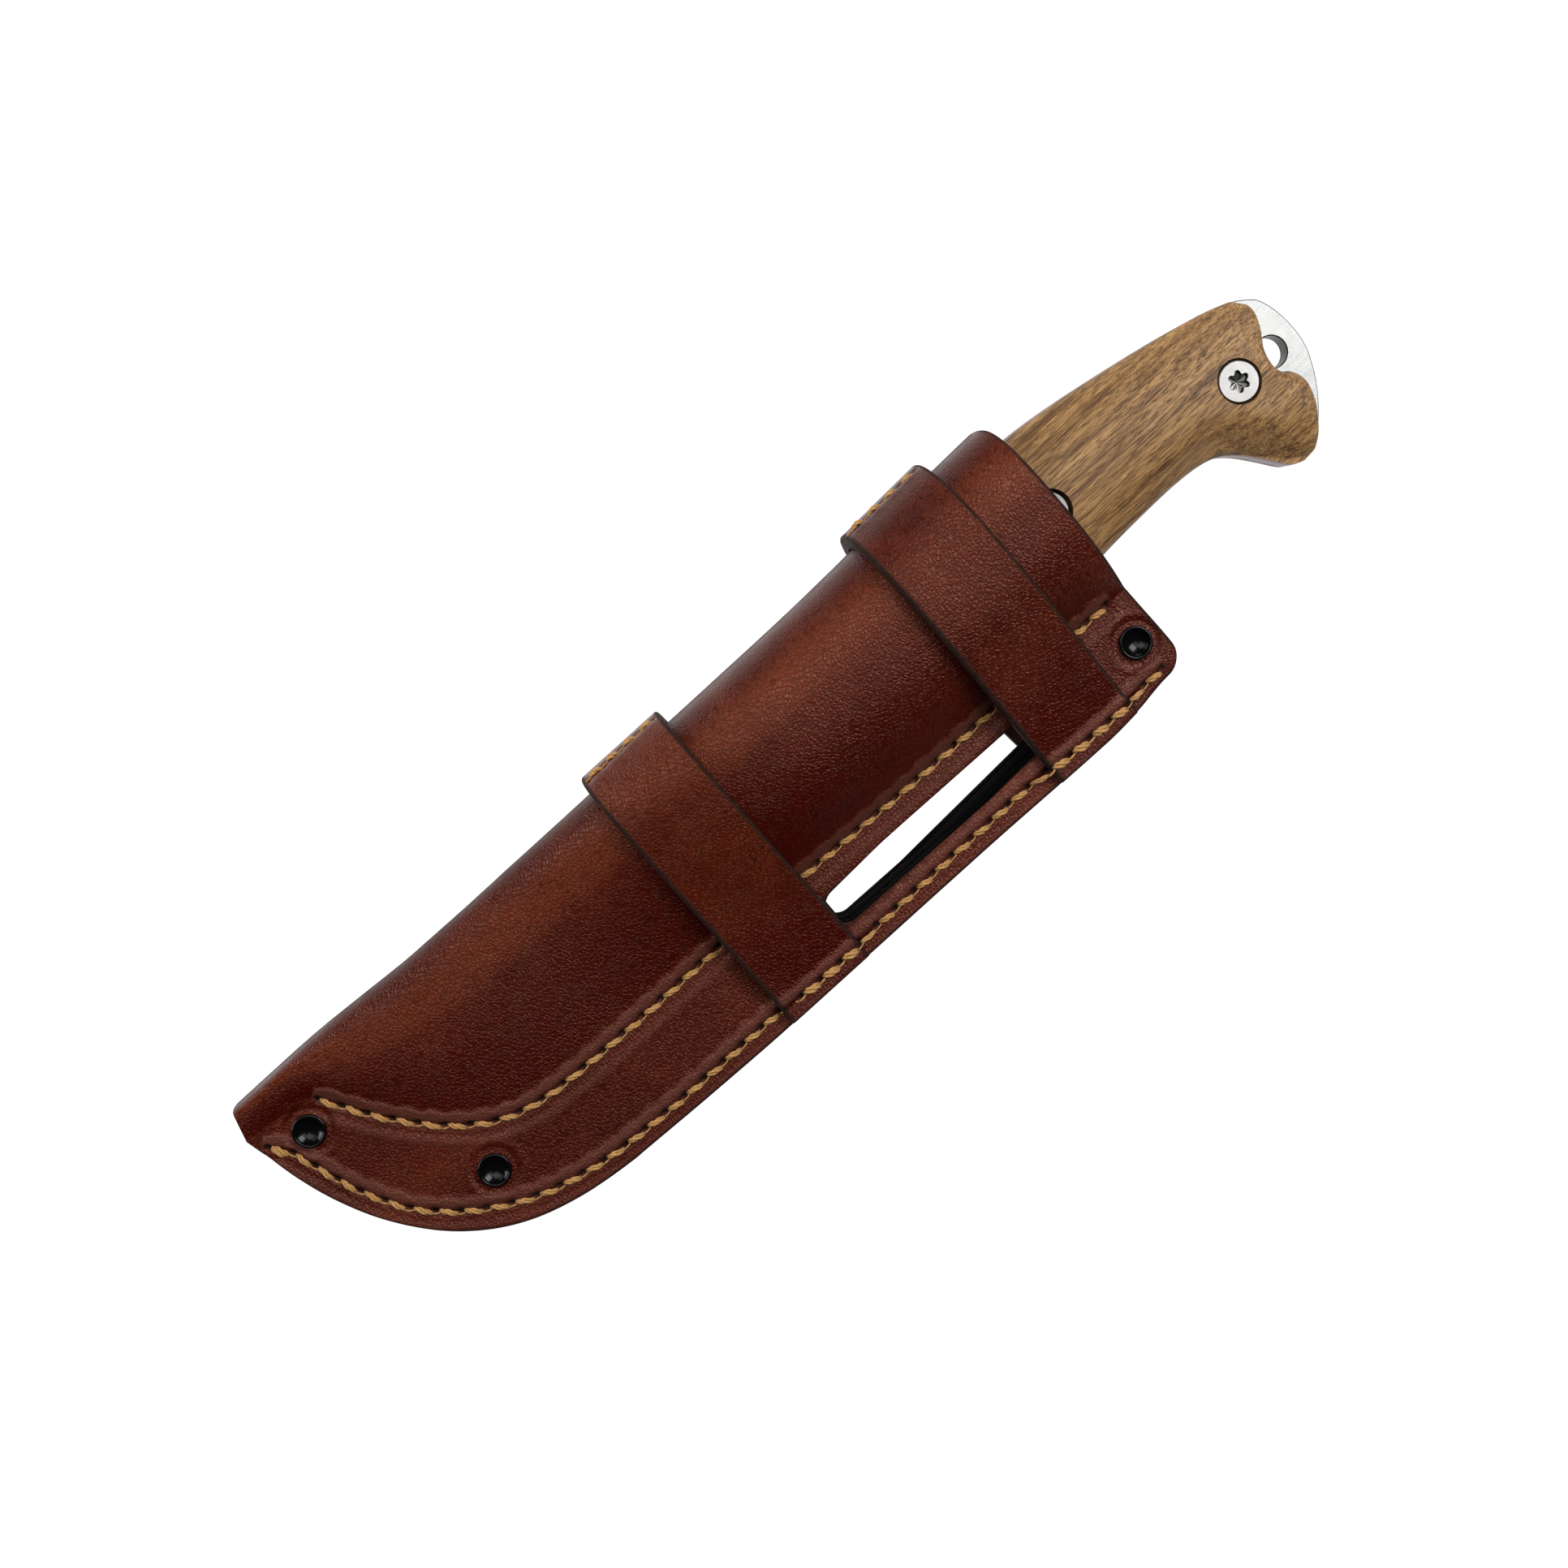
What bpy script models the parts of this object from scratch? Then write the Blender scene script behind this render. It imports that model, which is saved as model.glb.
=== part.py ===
"""A full-tang hunting knife in its leather sheath, as an assembly of separate parts.

Design frame, in millimetres: X runs from the sheath's tip to the knife's butt, Y rises from the
cutting edge to the back of the knife, with the blade's spine near 0, and Z runs from the knife's
middle plane towards the front of the sheath. Two empties place that frame so that the origin is
at the middle of the assembly's footprint, with the sheath lying on the backs of its two straps.
"""
import math

import bmesh
import bpy
from mathutils import Vector

MM = 0.001
GAP = 0.3                  # between parts that touch on a curved face
FLAT_GAP = 0.1             # between parts that lie flat on each other

# Where the design frame's zero lies in the world
FRAME_X = -127.87
FRAME_Y = 23.50
FRAME_Z = 21.7

# Sheath leather
PANEL = 2.7                # thickness of the folded panel
FLANGE = 5.1               # middle plane to the outer face of the sewn flange
WELT_INSET = 1.7           # the welt reaches this far past the pocket seam, into the pocket
MOUTH_X = 196.2            # open end of the sheath
CORNER = 4.6               # radius of the mouth's lower corner
EDGE_LIFT = 0.4            # the panel edges stand this far proud of the welt

# Half thickness of the sheath over the blade and over the handle, and where it changes
BLADE_SWELL = 6.2
HANDLE_SWELL = 14.0
SWELL_START = 66.0
SWELL_END = 130.0
FOLD_POWER = 2.5           # above 2 the fold is squarer than an ellipse
SWELL_POWER = 2.6

# Height of the fold, of the pocket seam and of the flange's edge along the sheath
FOLD_LINE = ((4, 5.2), (20, 5.2), (50, 3.7), (75, 3.5), (130, 3.5), (150, 3.7), (185, 5.0), (197, 5.2))
SEAM_LINE = ((54, -33.8), (72, -34.2), (92, -34.3), (113, -35.1), (143, -36.1), (197, -36.1))
EDGE_LINE = ((55, -54.0), (72, -54.7), (92, -55.2), (143, -55.5), (174, -56.0), (182, -55.6),
             (190, -54.6), (197, -54.2))

# The tip of the sheath, where its rows fan out: (fold x, seam x, seam y, edge x, edge y)
TIP_ROWS = (
    (4.2, 2.2, -0.8, 1.9, -1.2),
    (7.0, 5.6, -1.4, 3.0, -7.0),
    (10.0, 9.4, -1.9, 4.2, -13.4),
    (13.0, 13.0, -2.4, 6.2, -20.4),
    (16.0, 16.8, -3.3, 9.5, -28.2),
    (19.0, 19.7, -6.5, 13.7, -35.0),
    (22.5, 22.7, -12.0, 18.6, -40.8),
    (27.0, 27.1, -18.1, 24.6, -45.7),
    (32.0, 32.0, -24.2, 31.0, -49.2),
    (38.0, 37.8, -29.1, 37.8, -51.5),
    (45.0, 44.8, -32.4, 45.0, -53.0),
)
BODY_ROWS = (54, 66, 78, 90, 98, 106, 114, 122, 130, 145, 165, 180, 188, 192, 194.6, 195.8, 196.2)

# Belt slot through the flange
SLOT_X = (112.2, 167.0)
SLOT_Y = -44.7
SLOT_WIDE = 7.0
SLOT_LEAN = 0.14           # the slot leans towards the fold, by this much per depth

# Straps: (x at the flange, x at the fold) of the left edge, width, and the belt loop behind
STRAP = 2.7
STRAP_GAP = 0.45           # between a strap and the curved leather under it
STRAP_LOWER = (93.3, 94.6, 19.6)
STRAP_UPPER = (162.1, 162.5, 20.0)
LOOP_FLAT = (-8.0, -31.0)  # the flat of the loop, which the sheath lies on
LOOP_DEPTH = 19.0          # middle plane to the inner face of the loop
STRAP_END = 0.5            # the strap ends stop this far inside the flange's edge

# Thread
THREAD = 0.45              # radius
CREST_SEAM_Z = 5.5         # the crest seams run just below this height
CREST_INSET = 1.6          # and stop this far inside the strap's sides
SEAM_SHIFT = 0.6           # from the foot of the swelling to the pocket seam's thread
EDGE_SEAM = ((3.6, -4.6), (6.2, -8.4), (8.6, -16.7), (12.6, -27.2), (18.4, -35.4), (26, -41.9),
             (36, -47.1), (48, -50.1), (64, -51.4), (91.6, -51.7), (115.6, -52.1), (160.6, -52.3),
             (184.6, -52.6), (191.4, -52.6))

# Rivets
RIVETS = (("tip", 12.1, -7.6), ("belly", 32.4, -37.0), ("mouth", 190.7, -45.3))
RIVET_HEAD = 3.25
RIVET_TUBE = 1.9
RIVET_PIN = 1.0
RIVET_DOME = 1.1

# Knife
STEEL = 4.5
LINER = 0.8
HANDLE_HALF = 10.4         # middle plane to the crown of each scale
TIP_X = 18.5
HEEL_X = 115.5
GRIND_START = 110.0
BOLTS = ((150.8, -14.8), (194.0, -15.2), (237.2, -21.2))
BOLT_HEAD = 4.05
BOLT_HEAD_DEPTH = 2.2
BOLT_SEAT = 4.4
BOLT_TOP = 8.9             # middle plane to the face of the bolt's head
BOLT_SLEEVE = 2.75
BOLT_BORE = 1.9
BOLT_SHANK = 1.55
DRIVE_RADIUS = 2.0
DRIVE_DEPTH = 1.4
LANYARD = (247.5, -21.9, 3.1)

BLADE_SPINE = ((18, -1.6), (25, -1.0), (40, -0.6), (60, -0.4), (120, -0.4))
BLADE_EDGE = ((18, -1.8), (20, -3.9), (24, -9.2), (29, -15.6), (34.5, -21.2), (41, -26.1),
              (48, -29.1), (57, -30.6), (72, -31.0), (120, -31.0))
HANDLE_TOP = ((122, -0.3), (150, 0.0), (190, 0.1), (205, -0.5), (225, -3.7), (240, -6.9),
              (247, -9.2), (250.4, -11.2))
BUTT = ((252.4, -13.4), (253.7, -18.4), (253.6, -24.6), (251.6, -30.0), (248.6, -34.8),
        (244.6, -39.2), (241.0, -41.5))
HANDLE_UNDER = ((238.3, -41.5), (235.8, -40.2), (232.8, -36.2), (229.4, -32.1), (225.4, -29.4),
                (219.0, -28.15), (208.0, -28.05), (195.0, -28.9), (178.0, -30.4), (160.0, -30.9),
                (146.0, -29.4), (137.0, -27.9), (130.5, -29.2), (126.6, -32.2), (123.4, -33.0),
                (120.8, -31.4))
SCALE_REAR = ((249.0, -11.7), (249.0, -13.8), (247.6, -16.8), (245.2, -20.2), (244.5, -23.4),
              (245.2, -25.4), (246.7, -26.5), (247.6, -28.4), (247.6, -30.8), (246.4, -34.4),
              (243.6, -38.6), (241.0, -41.2))
# Scale blank, crowned: (x, middle y, half height, half thickness)
CROWN = ((124.2, -15.4, 15.8, 6.0), (126.5, -15.4, 17.2, 8.6), (131, -15.0, 17.2, 9.9),
         (140, -14.7, 16.6, HANDLE_HALF), (160, -15.0, 17.6, HANDLE_HALF),
         (180, -15.2, 17.6, HANDLE_HALF), (200, -14.6, 16.6, HANDLE_HALF),
         (215, -15.4, 16.4, HANDLE_HALF), (226, -17.6, 17.6, 10.1), (236, -22.5, 22.5, 9.6),
         (243.3, -25.0, 23.2, 8.9), (246.7, -25.5, 23.0, 8.1), (252, -25.5, 22.5, 7.0))

# Surface colours: (red, green, blue), roughness, metallic
LEATHER_BROWN = ((0.16, 0.045, 0.022), 0.42, 0.0)
STRAP_BROWN = ((0.12, 0.035, 0.018), 0.42, 0.0)
WELT_DARK = ((0.035, 0.016, 0.010), 0.55, 0.0)
THREAD_GOLD = ((0.52, 0.32, 0.10), 0.7, 0.0)
RIVET_BLACK = ((0.012, 0.012, 0.013), 0.25, 0.6)
WALNUT = ((0.30, 0.16, 0.075), 0.5, 0.0)
LINER_RED = ((0.38, 0.10, 0.08), 0.5, 0.0)
SATIN_STEEL = ((0.62, 0.62, 0.62), 0.3, 1.0)


# ---------------------------------------------------------------- scene and materials

def clear_scene():
    for old in list(bpy.data.objects):
        bpy.data.objects.remove(old, do_unlink=True)


def make_collection(name):
    made = bpy.data.collections.new(name)
    bpy.context.scene.collection.children.link(made)
    return made


def make_material(name, finish):
    colour, roughness, metallic = finish
    made = bpy.data.materials.new(name)
    made.use_nodes = True
    made.diffuse_color = (*colour, 1.0)
    shader = made.node_tree.nodes["Principled BSDF"]
    shader.inputs["Base Color"].default_value = (*colour, 1.0)
    shader.inputs["Roughness"].default_value = roughness
    shader.inputs["Metallic"].default_value = metallic
    return made


def make_frame(name):
    """An empty at the design frame's zero, for the parts of one moving body."""
    empty = bpy.data.objects.new(name, None)
    empty.location = Vector((FRAME_X, FRAME_Y, FRAME_Z)) * MM
    parts.objects.link(empty)
    return empty


def finish_part(obj, frame, material):
    """Name the part's mesh, give it its material and hang it in its frame."""
    obj.data.name = obj.name
    obj.data.materials.clear()
    obj.data.materials.append(material)
    obj.parent = frame
    return obj


# ---------------------------------------------------------------- curves and lines

def follow(line, x):
    """Height of a smooth line through (x, y) points, with slopes that never overshoot."""
    if x <= line[0][0]:
        return line[0][1]
    if x >= line[-1][0]:
        return line[-1][1]
    rises = [(b[1] - a[1]) / (b[0] - a[0]) for a, b in zip(line, line[1:])]
    slopes = [rises[0]]
    for before, after in zip(rises, rises[1:]):
        slopes.append(0.0 if before * after <= 0 else 2 * before * after / (before + after))
    slopes.append(rises[-1])
    i = next(k for k in range(len(line) - 1) if x <= line[k + 1][0])
    (x0, y0), (x1, y1) = line[i], line[i + 1]
    t = (x - x0) / (x1 - x0)
    bend = t * t * (3 - 2 * t)
    ease_in = t * (1 - t) ** 2 * slopes[i]
    ease_out = t * t * (1 - t) * slopes[i + 1]
    return y0 + (y1 - y0) * bend + (x1 - x0) * (ease_in - ease_out)


def smooth(points, steps, closed=False):
    """Points along a Catmull-Rom curve through the given points, steps to a span."""
    keys = [Vector(p) for p in points]
    count = len(keys)
    spans = count if closed else count - 1
    out = []
    for i in range(spans):
        b, c = keys[i], keys[(i + 1) % count]
        a = keys[i - 1] if closed or i else b
        d = keys[(i + 2) % count] if closed or i + 2 < count else c
        for k in range(steps):
            t = k / steps
            out.append(0.5 * (2 * b + (c - a) * t + (2 * a - 5 * b + 4 * c - d) * t * t
                              + (3 * b - a - 3 * c + d) * t ** 3))
    if not closed:
        out.append(keys[-1])
    return out


def circle(x, y, radius, sides=20):
    turns = [2 * math.pi * k / sides for k in range(sides)]
    return [(x + radius * math.cos(t), y + radius * math.sin(t)) for t in turns]


def stadium(x_low, x_high, y, width, sides=8):
    """A slot's outline with round ends."""
    r = width / 2
    left = [math.pi / 2 + math.pi * k / sides for k in range(sides + 1)]
    right = [math.pi * k / sides - math.pi / 2 for k in range(sides + 1)]
    ends = [(x_low + r + r * math.cos(t), y + r * math.sin(t)) for t in left]
    return ends + [(x_high - r + r * math.cos(t), y + r * math.sin(t)) for t in right]


def lobed_star(x, y, radius, lobes=6, points=24):
    """The outline of a six-lobed drive socket."""
    out = []
    for k in range(points):
        t = 2 * math.pi * k / points
        r = radius * (0.86 + 0.14 * math.cos(lobes * t))
        out.append((x + r * math.cos(t), y + r * math.sin(t)))
    return out


# ---------------------------------------------------------------- solids

def add_object(name, data, group=None):
    obj = bpy.data.objects.new(name, data)
    (group or parts).objects.link(obj)
    return obj


def plate(name, loops, z_low, z_high):
    """A flat outline, with any holes as further loops, extruded from z_low to z_high."""
    curve = bpy.data.curves.new(name, "CURVE")
    curve.dimensions = "2D"
    curve.fill_mode = "BOTH"
    curve.extrude = (z_high - z_low) / 2 * MM
    for loop in loops:
        spline = curve.splines.new("POLY")
        spline.points.add(len(loop) - 1)
        for point, place in zip(spline.points, loop):
            point.co = (place[0] * MM, place[1] * MM, 0, 1)
        spline.use_cyclic_u = True
    obj = add_object(name, curve)
    obj.location.z = (z_high + z_low) / 2 * MM
    return obj


def tube(name, points, radius):
    """A round thread through the points, with closed ends."""
    curve = bpy.data.curves.new(name, "CURVE")
    curve.dimensions = "3D"
    curve.bevel_depth = radius * MM
    curve.bevel_resolution = 1
    curve.use_fill_caps = True
    spline = curve.splines.new("POLY")
    spline.points.add(len(points) - 1)
    for point, place in zip(spline.points, points):
        point.co = (*(Vector(place) * MM), 1)
    return add_object(name, curve)


def as_mesh(obj):
    """Replace a curve or a modified object by its welded mesh."""
    bpy.context.view_layer.update()
    graph = bpy.context.evaluated_depsgraph_get()
    made = bpy.data.meshes.new_from_object(obj.evaluated_get(graph))
    bm = bmesh.new()
    bm.from_mesh(made)
    bmesh.ops.remove_doubles(bm, verts=bm.verts, dist=0.01 * MM)
    bmesh.ops.recalc_face_normals(bm, faces=bm.faces)
    bm.to_mesh(made)
    bm.free()
    name, place = obj.name, obj.matrix_world.copy()
    bpy.data.objects.remove(obj, do_unlink=True)
    mesh_obj = add_object(name, made)
    mesh_obj.matrix_world = place
    return mesh_obj


def sheet(name, rows):
    """An open grid of faces, one row of points for each station."""
    width = len(rows[0])
    verts = [Vector(p) * MM for row in rows for p in row]
    faces = []
    for i in range(len(rows) - 1):
        for j in range(width - 1):
            a = i * width + j
            faces.append((a, a + width, a + width + 1, a + 1))
    mesh = bpy.data.meshes.new(name)
    mesh.from_pydata(verts, [], faces)
    return add_object(name, mesh)


def loft(name, rings):
    """A closed body through rings of equal length, with flat ends."""
    size = len(rings[0])
    verts = [Vector(p) * MM for ring in rings for p in ring]
    faces = [tuple(range(size)), tuple(range(len(verts) - size, len(verts)))]
    for i in range(len(rings) - 1):
        for j in range(size):
            a = i * size
            k = (j + 1) % size
            faces.append((a + j, a + k, a + size + k, a + size + j))
    mesh = bpy.data.meshes.new(name)
    mesh.from_pydata(verts, [], faces)
    bm = bmesh.new()
    bm.from_mesh(mesh)
    bmesh.ops.recalc_face_normals(bm, faces=bm.faces)
    bm.to_mesh(mesh)
    bm.free()
    return add_object(name, mesh)


def turned(name, profile, x, y, sides=20):
    """A body turned round the Z axis through (x, y), from (radius, z) down its outer side."""
    mesh = bpy.data.meshes.new(name)
    verts = [(r * MM, 0, z * MM) for r, z in profile]
    mesh.from_pydata(verts, [(i, i + 1) for i in range(len(verts) - 1)], [])
    obj = add_object(name, mesh)
    screw = obj.modifiers.new("turn", "SCREW")
    screw.steps = sides
    screw.render_steps = sides
    screw.use_merge_vertices = True
    screw.merge_threshold = 0.00001
    obj.location = (x * MM, y * MM, 0)
    return obj


def thicken(obj, thickness, outward):
    shell = obj.modifiers.new("leather", "SOLIDIFY")
    shell.thickness = thickness * MM
    shell.offset = 1 if outward else -1
    shell.use_even_offset = True
    return as_mesh(obj)


def combine(target, tool, operation):
    """Join, cut or trim a mesh with another, which is then a hidden cutter."""
    change = target.modifiers.new(operation.lower(), "BOOLEAN")
    change.operation = operation
    change.solver = "EXACT"
    change.object = tool
    tool.hide_render = True
    tool.display_type = "WIRE"
    parts.objects.unlink(tool)
    cutters.objects.link(tool)


def cut_holes(target, holes, z_low, z_high, name):
    """Cut straight holes, given as outlines, through a mesh."""
    combine(target, as_mesh(plate(name, holes, z_low, z_high)), "DIFFERENCE")


# ---------------------------------------------------------------- the sheath's form

def swell(x):
    """Half thickness of the sheath at its fullest, along the sheath."""
    t = min(max((x - SWELL_START) / (SWELL_END - SWELL_START), 0.0), 1.0)
    return BLADE_SWELL + (HANDLE_SWELL - BLADE_SWELL) * t * t * (3 - 2 * t)


def crest_share(x):
    """How far up from the seam to the fold the fullest line lies."""
    t = min(max((x - SWELL_START) / (SWELL_END - SWELL_START), 0.0), 1.0)
    return 0.82 - 0.20 * t


def edge_height(x):
    """Height of the flange's edge, with the round corner at the mouth."""
    run = max(0.0, x - (MOUTH_X - CORNER))
    return follow(EDGE_LINE, x) + CORNER - math.sqrt(max(0.0, CORNER ** 2 - run ** 2))


def body_row(x):
    return (x, x, follow(SEAM_LINE, x), x, edge_height(x))


def half_section(row):
    """Outer face of the front half at one row, from the flange's edge up to the fold."""
    fold_x, seam_x, seam_y, edge_x, edge_y = row
    fold_y = follow(FOLD_LINE, fold_x)
    share = crest_share(seam_x)
    crest_y = max(seam_y + share * (fold_y - seam_y), seam_y + 0.4)
    crest_z = swell(seam_x) if seam_x > 12 else FLANGE + (BLADE_SWELL - FLANGE) * seam_x / 12

    def along(y):
        return seam_x + (fold_x - seam_x) * (y - seam_y) / (fold_y - seam_y)

    points = []
    for t in (0.0, 0.5):
        points.append((edge_x + (seam_x - edge_x) * t, edge_y + (seam_y - edge_y) * t, FLANGE))
    for s in (1.0, 0.88, 0.72, 0.5, 0.25):
        y = crest_y + (seam_y - crest_y) * s
        points.append((along(y), y, FLANGE + (crest_z - FLANGE) * (1 - s ** SWELL_POWER)))
    for angle in (0, 25, 45, 63, 78):
        turn = math.radians(angle)
        y = crest_y + (fold_y - crest_y) * math.sin(turn) ** (2 / FOLD_POWER)
        points.append((along(y), y, crest_z * math.cos(turn) ** (2 / FOLD_POWER)))
    points.append((fold_x, fold_y, 0.0))
    return points


def whole_section(row):
    front = half_section(row)
    back = [(x, y, -z) for x, y, z in front[-2::-1]]
    return front + back


def seam_path(z):
    """The pocket seam, from its first stitch near the tip to its last at the mouth."""
    rows = [row for row in TIP_ROWS if row[1] > 16]
    points = [(row[1] - SEAM_SHIFT, row[2] - SEAM_SHIFT, z) for row in rows]
    body = (56, 72, 92, 113, 143, 170, 191)
    return points + [(x, follow(SEAM_LINE, x) - SEAM_SHIFT, z) for x in body]


# ---------------------------------------------------------------- sheath parts

def slot_form(name, reach):
    """The belt slot, leaning so that its back opening sits nearer the fold than its front one."""
    outline = stadium(*SLOT_X, SLOT_Y, SLOT_WIDE)
    return loft(name, [[(x, y + SLOT_LEAN * (FLANGE - z), z) for x, y in outline] for z in (-reach, reach)])


def make_panel():
    rows = [whole_section(row) for row in TIP_ROWS]
    rows += [whole_section(body_row(x)) for x in BODY_ROWS]
    panel = thicken(sheet("sheath_panel", rows), PANEL, outward=False)
    reach = HANDLE_SWELL + 2
    combine(panel, slot_form("panel_slot_cutter", reach), "DIFFERENCE")
    holes = [circle(x, y, RIVET_TUBE + GAP, 16) for _, x, y in RIVETS]
    cut_holes(panel, holes, -reach, reach, "panel_rivet_cutter")
    return panel


def make_welt():
    """The leather filler between the two sides of the flange."""
    lower = [(row[3] + EDGE_LIFT, row[4] + EDGE_LIFT) for row in TIP_ROWS[1:]]
    lower += [(x, edge_height(x) + EDGE_LIFT) for x in (60, 92, 143, 174, 188, 192, 194.4, 195.6)]
    lower.append((MOUTH_X - EDGE_LIFT, edge_height(MOUTH_X - EDGE_LIFT) + 2 * EDGE_LIFT))
    upper = [(MOUTH_X - EDGE_LIFT, follow(SEAM_LINE, MOUTH_X) + WELT_INSET)]
    upper += [(x, follow(SEAM_LINE, x) + WELT_INSET) for x in (143, 113, 92, 72, 56)]
    slant = WELT_INSET * math.sqrt(0.5)
    upper += [(row[1] + slant, row[2] + slant) for row in reversed(TIP_ROWS[5:])]
    upper += [(17.0, -4.4), (14.0, -3.6), (4.0, -3.4)]
    holes = [circle(x, y, RIVET_TUBE + GAP, 16) for _, x, y in RIVETS]
    half = FLANGE - PANEL - FLAT_GAP
    welt = as_mesh(plate("edge_welt", [lower + upper] + holes, -half, half))
    combine(welt, slot_form("welt_slot_cutter", FLANGE), "DIFFERENCE")
    return welt


def taut_over(points):
    """The part of a section that a tight strap touches: its upper convex hull."""
    hull = []
    for point in sorted(points):
        while len(hull) > 1:
            (ay, az), (by, bz) = hull[-2], hull[-1]
            if (by - ay) * (point[1] - az) - (bz - az) * (point[0] - ay) < 0:
                break
            hull.pop()
        hull.append(point)
    return hull


def resample(points, count):
    """The same path in evenly long steps."""
    lengths = [0.0]
    for a, b in zip(points, points[1:]):
        lengths.append(lengths[-1] + (Vector(b) - Vector(a)).length)
    out = []
    for k in range(count):
        goal = lengths[-1] * k / (count - 1)
        i = max(j for j in range(len(points) - 1) if lengths[j] <= goal)
        share = (goal - lengths[i]) / (lengths[i + 1] - lengths[i])
        out.append(Vector(points[i]).lerp(Vector(points[i + 1]), min(share, 1.0)))
    return out


def offset(points, distance):
    """A path moved sideways, to its left, by a distance."""
    out = []
    for i, (y, z) in enumerate(points):
        before, after = points[max(i - 1, 0)], points[min(i + 1, len(points) - 1)]
        run, rise = after[0] - before[0], after[1] - before[1]
        length = math.hypot(run, rise)
        out.append((y - distance * rise / length, z + distance * run / length))
    return out


def strap_path(x):
    """Inner face of a strap at one x: over the front, round the fold, and the loop behind."""
    section = offset([(y, z) for _, y, z in half_section(body_row(x))], STRAP_GAP)
    fold_y = section[-1][0]
    edge_y = section[0][0] + STRAP_END
    sewn = (SLOT_Y - SLOT_WIDE / 2 - 1, FLANGE + GAP)
    free = [sewn] + [p for p in section[:-1] if p[0] > sewn[0]] + [(fold_y, 0.0)]
    over = [(edge_y, FLANGE + GAP)] + resample(taut_over(free), 34)
    flat_a, flat_b = LOOP_FLAT
    loop = [(fold_y, -3.0), (fold_y - 1.0, -8.5), (fold_y - 4.0, -14.6),
            (flat_a + 3.5, -LOOP_DEPTH + 1.1), (flat_a, -LOOP_DEPTH),
            ((flat_a + flat_b) / 2, -LOOP_DEPTH), (flat_b, -LOOP_DEPTH),
            (flat_b - 5, -LOOP_DEPTH + 1.4), (-44.0, -11.6), (-48.5, -FLANGE - GAP - 1.2),
            (-50.5, -FLANGE - GAP), (edge_y, -FLANGE - GAP)]
    return [tuple(p) for p in over] + loop


def make_strap(name, strap):
    """One leather strip: sewn to the flange in front, round the fold, and back as a belt loop."""
    flange_x, fold_x, width = strap
    rows = []
    for share in (0.0, 0.25, 0.5, 0.75, 1.0):
        path = strap_path(flange_x + width * share)
        low, high = path[0][0], max(y for y, _ in path)
        row = []
        for y, z in path:
            lean = (fold_x - flange_x) * (y - low) / (high - low)
            row.append((flange_x + width * share + lean, y, z))
        rows.append(row)
    return thicken(sheet(name, rows), STRAP, outward=True)


def edge_seam_points(side):
    """The outer seam: on the flange, and up over the ends of the two straps."""
    low = FLANGE + FLAT_GAP + THREAD
    high = FLANGE + GAP + STRAP + GAP + THREAD
    path = [(x, y, low) for x, y in smooth(EDGE_SEAM, 2)]
    for start, _, width in (STRAP_LOWER, STRAP_UPPER):
        left, right = start - 1.2, start + width + 1.4
        path = [p for p in path if not left < p[0] < right]
        climb = ((left, low), (left, high), (right, high), (right, low))
        path += [(x, follow(EDGE_SEAM, x), z) for x, z in climb]
    path.sort(key=lambda p: p[0])
    return [(x, y, side * z) for x, y, z in path]


def crest_point(x):
    """Where the crest seam crosses a strap, on the front side of its bend round the fold."""
    outer = offset(strap_path(x), STRAP + GAP + THREAD)
    return next((x, y, z) for y, z in outer if y > 0 and z < CREST_SEAM_Z)


def make_threads():
    height = FLANGE + FLAT_GAP + THREAD
    made = []
    for side, face in ((1, "front"), (-1, "back")):
        made.append(tube("thread_pocket_" + face, seam_path(side * height), THREAD))
        made.append(tube("thread_edge_" + face, edge_seam_points(side), THREAD))
    for name, strap in (("lower", STRAP_LOWER), ("upper", STRAP_UPPER)):
        _, start, width = strap
        ends = [crest_point(start + inset) for inset in (CREST_INSET, width - CREST_INSET)]
        made.append(tube("thread_crest_" + name, ends, THREAD))
    return made


def make_rivets():
    """Each rivet is a domed cap with a tube, and a domed base with a pin up the tube."""
    seat = FLANGE + FLAT_GAP
    bore = RIVET_PIN + GAP
    made = []
    for name, x, y in RIVETS:
        cap = [(0, seat + RIVET_DOME), (RIVET_HEAD * 0.5, seat + RIVET_DOME * 0.93),
               (RIVET_HEAD * 0.85, seat + RIVET_DOME * 0.62), (RIVET_HEAD, seat + RIVET_DOME * 0.2),
               (RIVET_HEAD, seat), (RIVET_TUBE, seat), (RIVET_TUBE, -FLANGE + 2),
               (bore, -FLANGE + 2), (bore, seat - GAP), (0, seat - GAP)]
        pin_top = seat - 2 * GAP
        base = [(0, pin_top), (RIVET_PIN, pin_top), (RIVET_PIN, -seat), (RIVET_HEAD, -seat),
                (RIVET_HEAD, -seat - RIVET_DOME * 0.2),
                (RIVET_HEAD * 0.85, -seat - RIVET_DOME * 0.62),
                (RIVET_HEAD * 0.5, -seat - RIVET_DOME * 0.93), (0, -seat - RIVET_DOME)]
        made.append(turned("rivet_" + name + "_cap", cap, x, y, 16))
        made.append(turned("rivet_" + name + "_base", base, x, y, 16))
    return made


# ---------------------------------------------------------------- knife parts

def tang_outline():
    front = [(HEEL_X, -0.35), (118, -0.35)]
    choil = [(119.2, -28.8), (118.2, -30.9), (HEEL_X, -30.9)]
    body = smooth(HANDLE_TOP + BUTT + HANDLE_UNDER, 3)
    return front + [tuple(p) for p in body] + choil


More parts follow.
